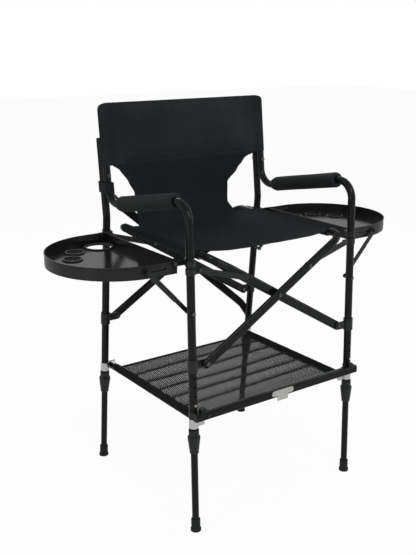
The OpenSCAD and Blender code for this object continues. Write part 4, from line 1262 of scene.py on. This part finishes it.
@dataclass
class FootrestNet:
    """Net of the footrest: close mesh, bound edges and a sleeve on each side rail."""

    rail_x: float = 0.257
    rail_z: float = 0.318
    rail_r: float = 0.0095
    across: int = 84
    along: int = 76
    pulls: tuple[float, ...] = (0.15, 0.31, 0.475, 0.645, 0.81)
    pull_width: float = 0.017
    pull_depth: float = 0.36
    hem: float = 0.010
    yarn: float = 0.00036
    binding: float = 0.001
    ends: Pair = field(default_factory=lambda: tuple(
        corner[1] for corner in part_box("footrest_mesh")))

    def inner(self) -> float:
        """Half width of the net between its rails."""
        return self.rail_x - self.rail_r - 0.001

    def pull(self, k: int, x: float) -> float:
        """Place of one pull fold, from 0 at the front to 1 at the back, where it crosses x."""
        side = x / self.rail_x
        return self.pulls[k] + 0.014 * side + 0.006 * math.sin(2.3 * side + 1.9 * k)

    def row(self, x: float, v: float) -> float:
        """Front to back share of a row of cells, which lie closer along the pull folds."""
        half = self.pull_width * math.sqrt(math.pi) / 2
        here = v
        whole = 1.0
        for k in range(len(self.pulls)):
            at = self.pull(k, x)
            depth = self.pull_depth * (0.85 + 0.15 * math.sin(3.0 * x / self.rail_x + 1.4 * k))
            low = math.erf(-at / self.pull_width)
            here -= depth * half * (math.erf((v - at) / self.pull_width) - low)
            whole -= depth * half * (math.erf((1 - at) / self.pull_width) - low)
        return here / whole

    def lift(self, x: float, t: float) -> float:
        """Height of the net's pull folds above its plane, for rows t from 0 to 1."""
        loose = 1 - (x / (self.rail_x - self.rail_r)) ** 2
        folds = 0.0
        for k in range(len(self.pulls)):
            away = (t - self.pull(k, x)) / 0.045
            folds += math.exp(-away * away) - 0.55 * math.exp(-((away - 1.5) ** 2) / 2.0)
        edge = min(1.0, math.sin(math.pi * t) * 4.0)
        return (-0.0035 * loose * math.sin(math.pi * t)
                + 0.0065 * folds * max(0.0, loose) ** 0.16 * edge)

    def net(self) -> Piece:
        """The mesh itself, with a gap in each cell."""
        lo, hi = self.ends
        inner = self.inner()
        length = hi - lo - self.hem

        def spot(u: float, v: float) -> Vector:
            """The place of a point of the net."""
            x = (2 * u - 1) * inner
            y = lo + self.hem * 0.5 + length * self.row(x, v)
            return Vector((x, y, self.rail_z + self.lift(x, v)))

        net = sheet("footrest_net", self.across, self.along, spot, (2 * inner, length))
        pick(net, "FACE")
        bpy.ops.mesh.inset(thickness=length / self.along * 0.33, use_individual=True)
        bpy.ops.mesh.delete(type="FACE")
        modify(net, "SOLIDIFY", thickness=self.yarn, offset=0.0)
        return net

    def bound_edge(self, edge: float, turn: float) -> Piece:
        """The binding folded over the edge at y = edge, which opens towards turn."""
        inner = self.inner()

        def spot(u: float, v: float) -> Vector:
            """The place of a point of the binding."""
            angle = math.pi * (v - 0.5)
            y = edge + turn * (self.hem * 0.9 - math.cos(angle) * 0.0105)
            return Vector(((2 * u - 1) * (inner + 0.001), y,
                           self.rail_z + math.sin(angle) * 0.0015))

        return sheet("binding", 60, 10, spot, (2 * inner, 0.024))

    def sleeve(self, side: Side) -> Piece:
        """The sleeve round one rail, open towards the net."""
        lo, hi = self.ends

        def spot(u: float, v: float) -> Vector:
            """The place of a point of the sleeve."""
            angle = math.radians(360 + 300 * (u - 0.5))
            radius = self.rail_r + 0.0016 + ripple(u * 4, v * 16, side.value * 3.0, 0.0005)
            x = self.rail_x + radius * math.cos(angle)
            z = self.rail_z + radius * math.sin(angle)
            return Vector((side.value * x, lo + (hi - lo) * v, z))

        return sheet(side.of("net_sleeve"), 30, 50, spot, (0.058, hi - lo))

    def build(self) -> None:
        """Makes the net with its gaps, then the binding and the sleeves."""
        lo, hi = self.ends
        net = self.net()
        dress(net, "net")
        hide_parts("footrest_mesh")
        hems = join(self.bound_edge(lo, 1.0), self.bound_edge(hi, -1.0))
        hems.name = "footrest_hems"
        sleeves = {side: self.sleeve(side) for side in Side}
        for piece in (hems, *sleeves.values()):
            modify(piece, "SOLIDIFY", thickness=self.binding, offset=0.0)
            done(piece, 60)
            dress(piece, "hem")
        for piece in (net, hems):
            close_up(piece)
            log(piece)
        for side, piece in sleeves.items():
            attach(piece, side.of("frame"))
            log(piece)


@dataclass
class CarryStrap:
    """Carry strap: webbing from a loop on the left back leg to the right rear bracket."""

    lines: Lines = LINES
    width: float = 0.025
    webbing: float = 0.0016
    pivot_z: float = 0.479
    loop_z: float = 0.868
    loop_tall: float = 0.030
    loop_reach: float = 0.016
    folded: float = 0.351
    route: tuple[Point, ...] = (
        (-276, -4.4, 872), (-245, 8, 848), (-205, 22, 813), (-120, 27, 742), (0, 28, 640),
        (120, 29, 537), (248, 31, 428), (272, 31.5, 402), (290, 31.5, 376), (300, 27, 348),
    )

    def points(self) -> list[Vector]:
        """The route, given in millimetres, in metres."""
        base = self.lines.back(self.pivot_z) - 0.004 + 0.0008
        return [Vector((x / 1000, base + y / 1000, z / 1000)) for x, y, z in self.route]

    def along(self, t: float) -> tuple[Vector, Vector]:
        """Place and direction at t from 0 to 1, on a smooth curve through the route."""
        way = self.points()
        last = len(way) - 1
        at = min(t * last, last - 1e-6)
        k = int(at)
        f = at - k
        p0, p1 = way[max(k - 1, 0)], way[k]
        p2, p3 = way[k + 1], way[min(k + 2, last)]
        bend = 2 * p0 - 5 * p1 + 4 * p2 - p3
        twist = 3 * p1 - p0 - 3 * p2 + p3
        spot = 0.5 * (2 * p1 + (p2 - p0) * f + bend * f * f + twist * f**3)
        way_on = 0.5 * ((p2 - p0) + 2 * bend * f + 3 * twist * f * f)
        return spot, way_on.normalized()

    def ribbon(self) -> Piece:
        """The strap's long run."""

        def spot(u: float, v: float) -> Vector:
            """The place of a point of the ribbon."""
            at, way_on = self.along(v)
            across = Vector((-way_on.z, 0, way_on.x)).normalized()
            curl = 0.0009 * (2 * u - 1) ** 2
            sway = ripple(0.0, v * 5, 9.0, 0.0012)
            return at + across * (0.5 - u) * self.width + Vector((0, sway + curl, 0))

        return sheet("carry_strap", 8, 150, spot, (self.width, 0.86))

    def loop(self) -> Piece:
        """The loop round the left back leg and its upright."""
        low, tall, reach = self.loop_z, self.loop_tall, self.loop_reach
        centre = (self.lines.upright(low) + self.lines.upper(low)) / 2 - 0.002
        radius = self.lines.tube + 0.0018 + 0.0008
        half_turn = math.pi * radius

        def spot(u: float, v: float) -> Vector:
            """The place of a point of the loop."""
            d = u * (2 * half_turn + 4 * reach)
            if d < 2 * reach:
                x, y = radius, -reach + d
            elif d < 2 * reach + half_turn:
                a = (d - 2 * reach) / radius
                x, y = radius * math.cos(a), reach + radius * math.sin(a)
            elif d < 4 * reach + half_turn:
                x, y = -radius, reach - (d - 2 * reach - half_turn)
            else:
                a = (d - 4 * reach - half_turn) / radius
                x, y = -radius * math.cos(a), -reach - radius * math.sin(a)
            lean = math.tan(self.lines.upper_lean) * v * tall
            return Vector((-self.lines.half_width + x, centre + y + lean, low + v * tall))

        made = sheet("loop", 72, 10, spot, (0.15, 0.025))
        pick(made, "VERT")
        bpy.ops.mesh.remove_doubles(threshold=0.00005)
        return made

    def build(self) -> None:
        """Makes the ribbon and its loop, and lets them close with the frame."""
        strap = self.ribbon()
        join(strap, self.loop())
        modify(strap, "SOLIDIFY", thickness=self.webbing, offset=0.0)
        done(strap, 60)
        dress(strap, "webbing")
        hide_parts("carry_strap")
        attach(strap, "left_frame")
        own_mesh(strap)
        log(strap)


@dataclass
class ArmGrips:
    """Foam grips on the arms, pressed in at their ends."""

    radius: float = 0.022
    bore: float = 0.0112
    lip: float = 0.0006
    length: float = 0.284
    slope: float = math.radians(10.5)
    rings: int = 24

    def blank(self, side: Side) -> Piece:
        """A ringed tube along Z, turned in to the bore at both ends."""
        half = self.length / 2
        grip = start(side.of("foam_grip"), bpy.ops.mesh.primitive_cylinder_add, vertices=56,
                     radius=self.radius, depth=self.length, end_fill_type="NOTHING")
        pick(grip, "FACE")
        shares = [1 - (1 - ring / self.rings) ** 1.6 for ring in range(1, self.rings)]
        for at in (0.0, *(sign * half * share for share in shares for sign in (-1, 1))):
            bpy.ops.mesh.select_all(action="SELECT")
            bpy.ops.mesh.bisect(plane_co=(0, 0, at), plane_no=(0, 0, 1))
        mouth = self.bore + self.lip
        for sign in (-1, 1):
            pick(grip, "EDGE", lambda e, s=sign: all(
                s * v.co.z > half - 0.0002 for v in e.verts))
            for factor, shift in ((mouth / self.radius, 0), (self.bore / mouth, -sign * 0.003)):
                bpy.ops.mesh.extrude_edges_move(TRANSFORM_OT_translate={"value": (0, 0, shift)})
                bpy.ops.transform.resize(value=(factor, factor, 1), center_override=(0, 0, 0))
        only(grip)
        return grip

    def press(self, grip: Piece, side: Side) -> None:
        """Narrows the grip at its ends, more at the rear, and makes it a little uneven."""
        for vertex in grip.data.vertices:
            co = vertex.co
            across = math.hypot(co.x, co.y)
            if across < self.bore + 0.001:
                continue
            depth, reach = (0.0048, 0.016) if co.z > 0 else (0.0016, 0.005)
            narrow = depth * (1 - ease(self.length / 2 - abs(co.z), 0.0, reach))
            swell = ripple(co.x * 25, co.y * 25, co.z * 14 + side.value, 0.0005)
            factor = (across - narrow + swell) / across
            co.x *= factor
            co.y *= factor

    def build(self) -> None:
        """Makes a grip for each arm and slides it on."""
        for side in Side:
            node = side.of("arm_grip")
            low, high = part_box(node)
            centre = Vector((low[0] + high[0], low[1] + high[1], low[2] + high[2])) / 2
            grip = self.blank(side)
            self.press(grip, side)
            turn = Matrix.Rotation(-math.pi / 2 - self.slope, 4, "X")
            place(grip, Matrix.Translation(centre) @ turn)
            pick(grip, "FACE")
            bpy.ops.mesh.normals_make_consistent(inside=False)
            done(grip, 40)
            dress(grip, "foam")
            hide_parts(node)
            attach(grip, side.of("frame"))
            log(grip)


@dataclass
class Frame:
    """Gives every CAD node that stays its own finish."""

    slots: dict[str, str] = field(default_factory=lambda: {
        "tube_black": "tube",
        "bracket_black": "flat",
        "bracket_silver": "silver",
        "bolt_steel": "bolt",
        "snap_brass": "brass",
        "collar_plastic": "plastic",
        "tray_plastic": "tray",
        "foot_rubber": "rubber",
        "grip_foam": "foam",
        "cloth_black": "canvas",
        "net_grey": "net",
    })
    nodes: dict[str, str] = field(default_factory=lambda: {
        "left_rest_brackets": "brackets",
        "right_rest_brackets": "brackets",
        "left_slot_plates": "flat",
        "right_slot_plates": "flat",
    })

    def build(self, loaded: dict) -> None:
        """Dresses the nodes.
        """
        slot_of = {p["node"]: p["material_slot"] for p in loaded["record"]["subparts"]}
        for name, node in loaded["nodes"].items():
            material = finish_of(self.nodes.get(name, self.slots[slot_of[name]]))
            if not node.material_slots:
                node.data.materials.append(material)
            for place_of in node.material_slots:
                place_of.material = material


@dataclass(frozen=True)
class SoftBox:
    """A rectangular lamp that looks at the chair."""

    name: str
    at: Point
    size: Pair
    power: float
    target: Point = (0, 0, 0.6)

    def build(self) -> None:
        """Hangs the lamp."""
        data = bpy.data.lights.new(self.name, "AREA")
        data.shape = "RECTANGLE"
        data.size, data.size_y = self.size
        data.energy = self.power
        lamp = bpy.data.objects.new(self.name, data)
        bpy.context.collection.objects.link(lamp)
        lamp.location = self.at
        way = Vector(self.target) - Vector(self.at)
        lamp.rotation_euler = way.to_track_quat("-Z", "Y").to_euler()


@dataclass
class Studio:
    """Pale floor, soft lamps, and the camera at the photograph's angle."""

    eye: Point = (-1.400, -1.876, 1.299)
    aim: Point = (0.5588, 0.7799, -0.2822)
    lens: float = 53.42
    sensor: float = 36.0
    ambient: float = 0.5
    gloss_share: float = 0.25
    lamps: tuple[SoftBox, ...] = (
        SoftBox("key", (-0.6, -2.6, 2.9), (1.4, 1.4), 32.0),
        SoftBox("left_strip", (-2.6, -0.7, 1.2), (0.16, 2.0), 7.0),
        SoftBox("right_strip", (2.2, -1.9, 1.3), (0.16, 2.0), 9.0),
        SoftBox("rear", (0.8, 2.4, 2.4), (1.6, 1.0), 12.0, (0, 0, 0.7)),
    )

    def floor(self) -> None:
        """A wide pale floor."""
        ground = start("studio_floor", bpy.ops.mesh.primitive_plane_add, size=30.0)
        pick(ground, "FACE")
        bpy.ops.mesh.subdivide(number_cuts=3)
        only(ground)
        ground.data.materials.append(Pale("pale_floor").make())

    def sky(self) -> None:
        """Even world light, white to the camera and dimmer in reflections."""
        world = bpy.data.worlds.new("studio")
        bpy.context.scene.world = world
        g = Graph(world)
        strength = g.node("ShaderNodeMapRange", {}, {
            "Value": g.watched(self.gloss_share), "To Min": self.ambient, "To Max": 1.0,
        })
        light = g.node("ShaderNodeBackground", {}, {
            "Color": (1, 1, 1, 1), "Strength": strength.outputs["Result"],
        })
        g.node("ShaderNodeOutputWorld", {}, {"Surface": light.outputs[0]})

    def camera(self) -> None:
        """The camera of the photograph."""
        data = bpy.data.cameras.new("camera")
        data.lens = self.lens
        data.sensor_width = self.sensor
        camera = bpy.data.objects.new("camera", data)
        bpy.context.collection.objects.link(camera)
        camera.location = self.eye
        camera.rotation_mode = "QUATERNION"
        camera.rotation_quaternion = Vector(self.aim).to_track_quat("-Z", "Y")
        bpy.context.scene.camera = camera

    def build(self) -> None:
        """Sets up the whole studio."""
        self.camera()
        self.floor()
        self.sky()
        for lamp in self.lamps:
            lamp.build()
        bpy.context.scene.view_settings.view_transform = "Standard"


def main() -> None:
    """Builds the looks of the whole chair."""
    logging.basicConfig(level=logging.INFO, format="%(name)s: %(message)s")
    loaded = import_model()
    Studio().build()
    Frame().build(loaded)
    for assembly in (BackBand, SlingSeat, LowerBack, FootrestNet, CarryStrap, ArmGrips,
                     FrameDomes, JarWells, SlotCovers):
        assembly().build()


if __name__ == "__main__":
    main()
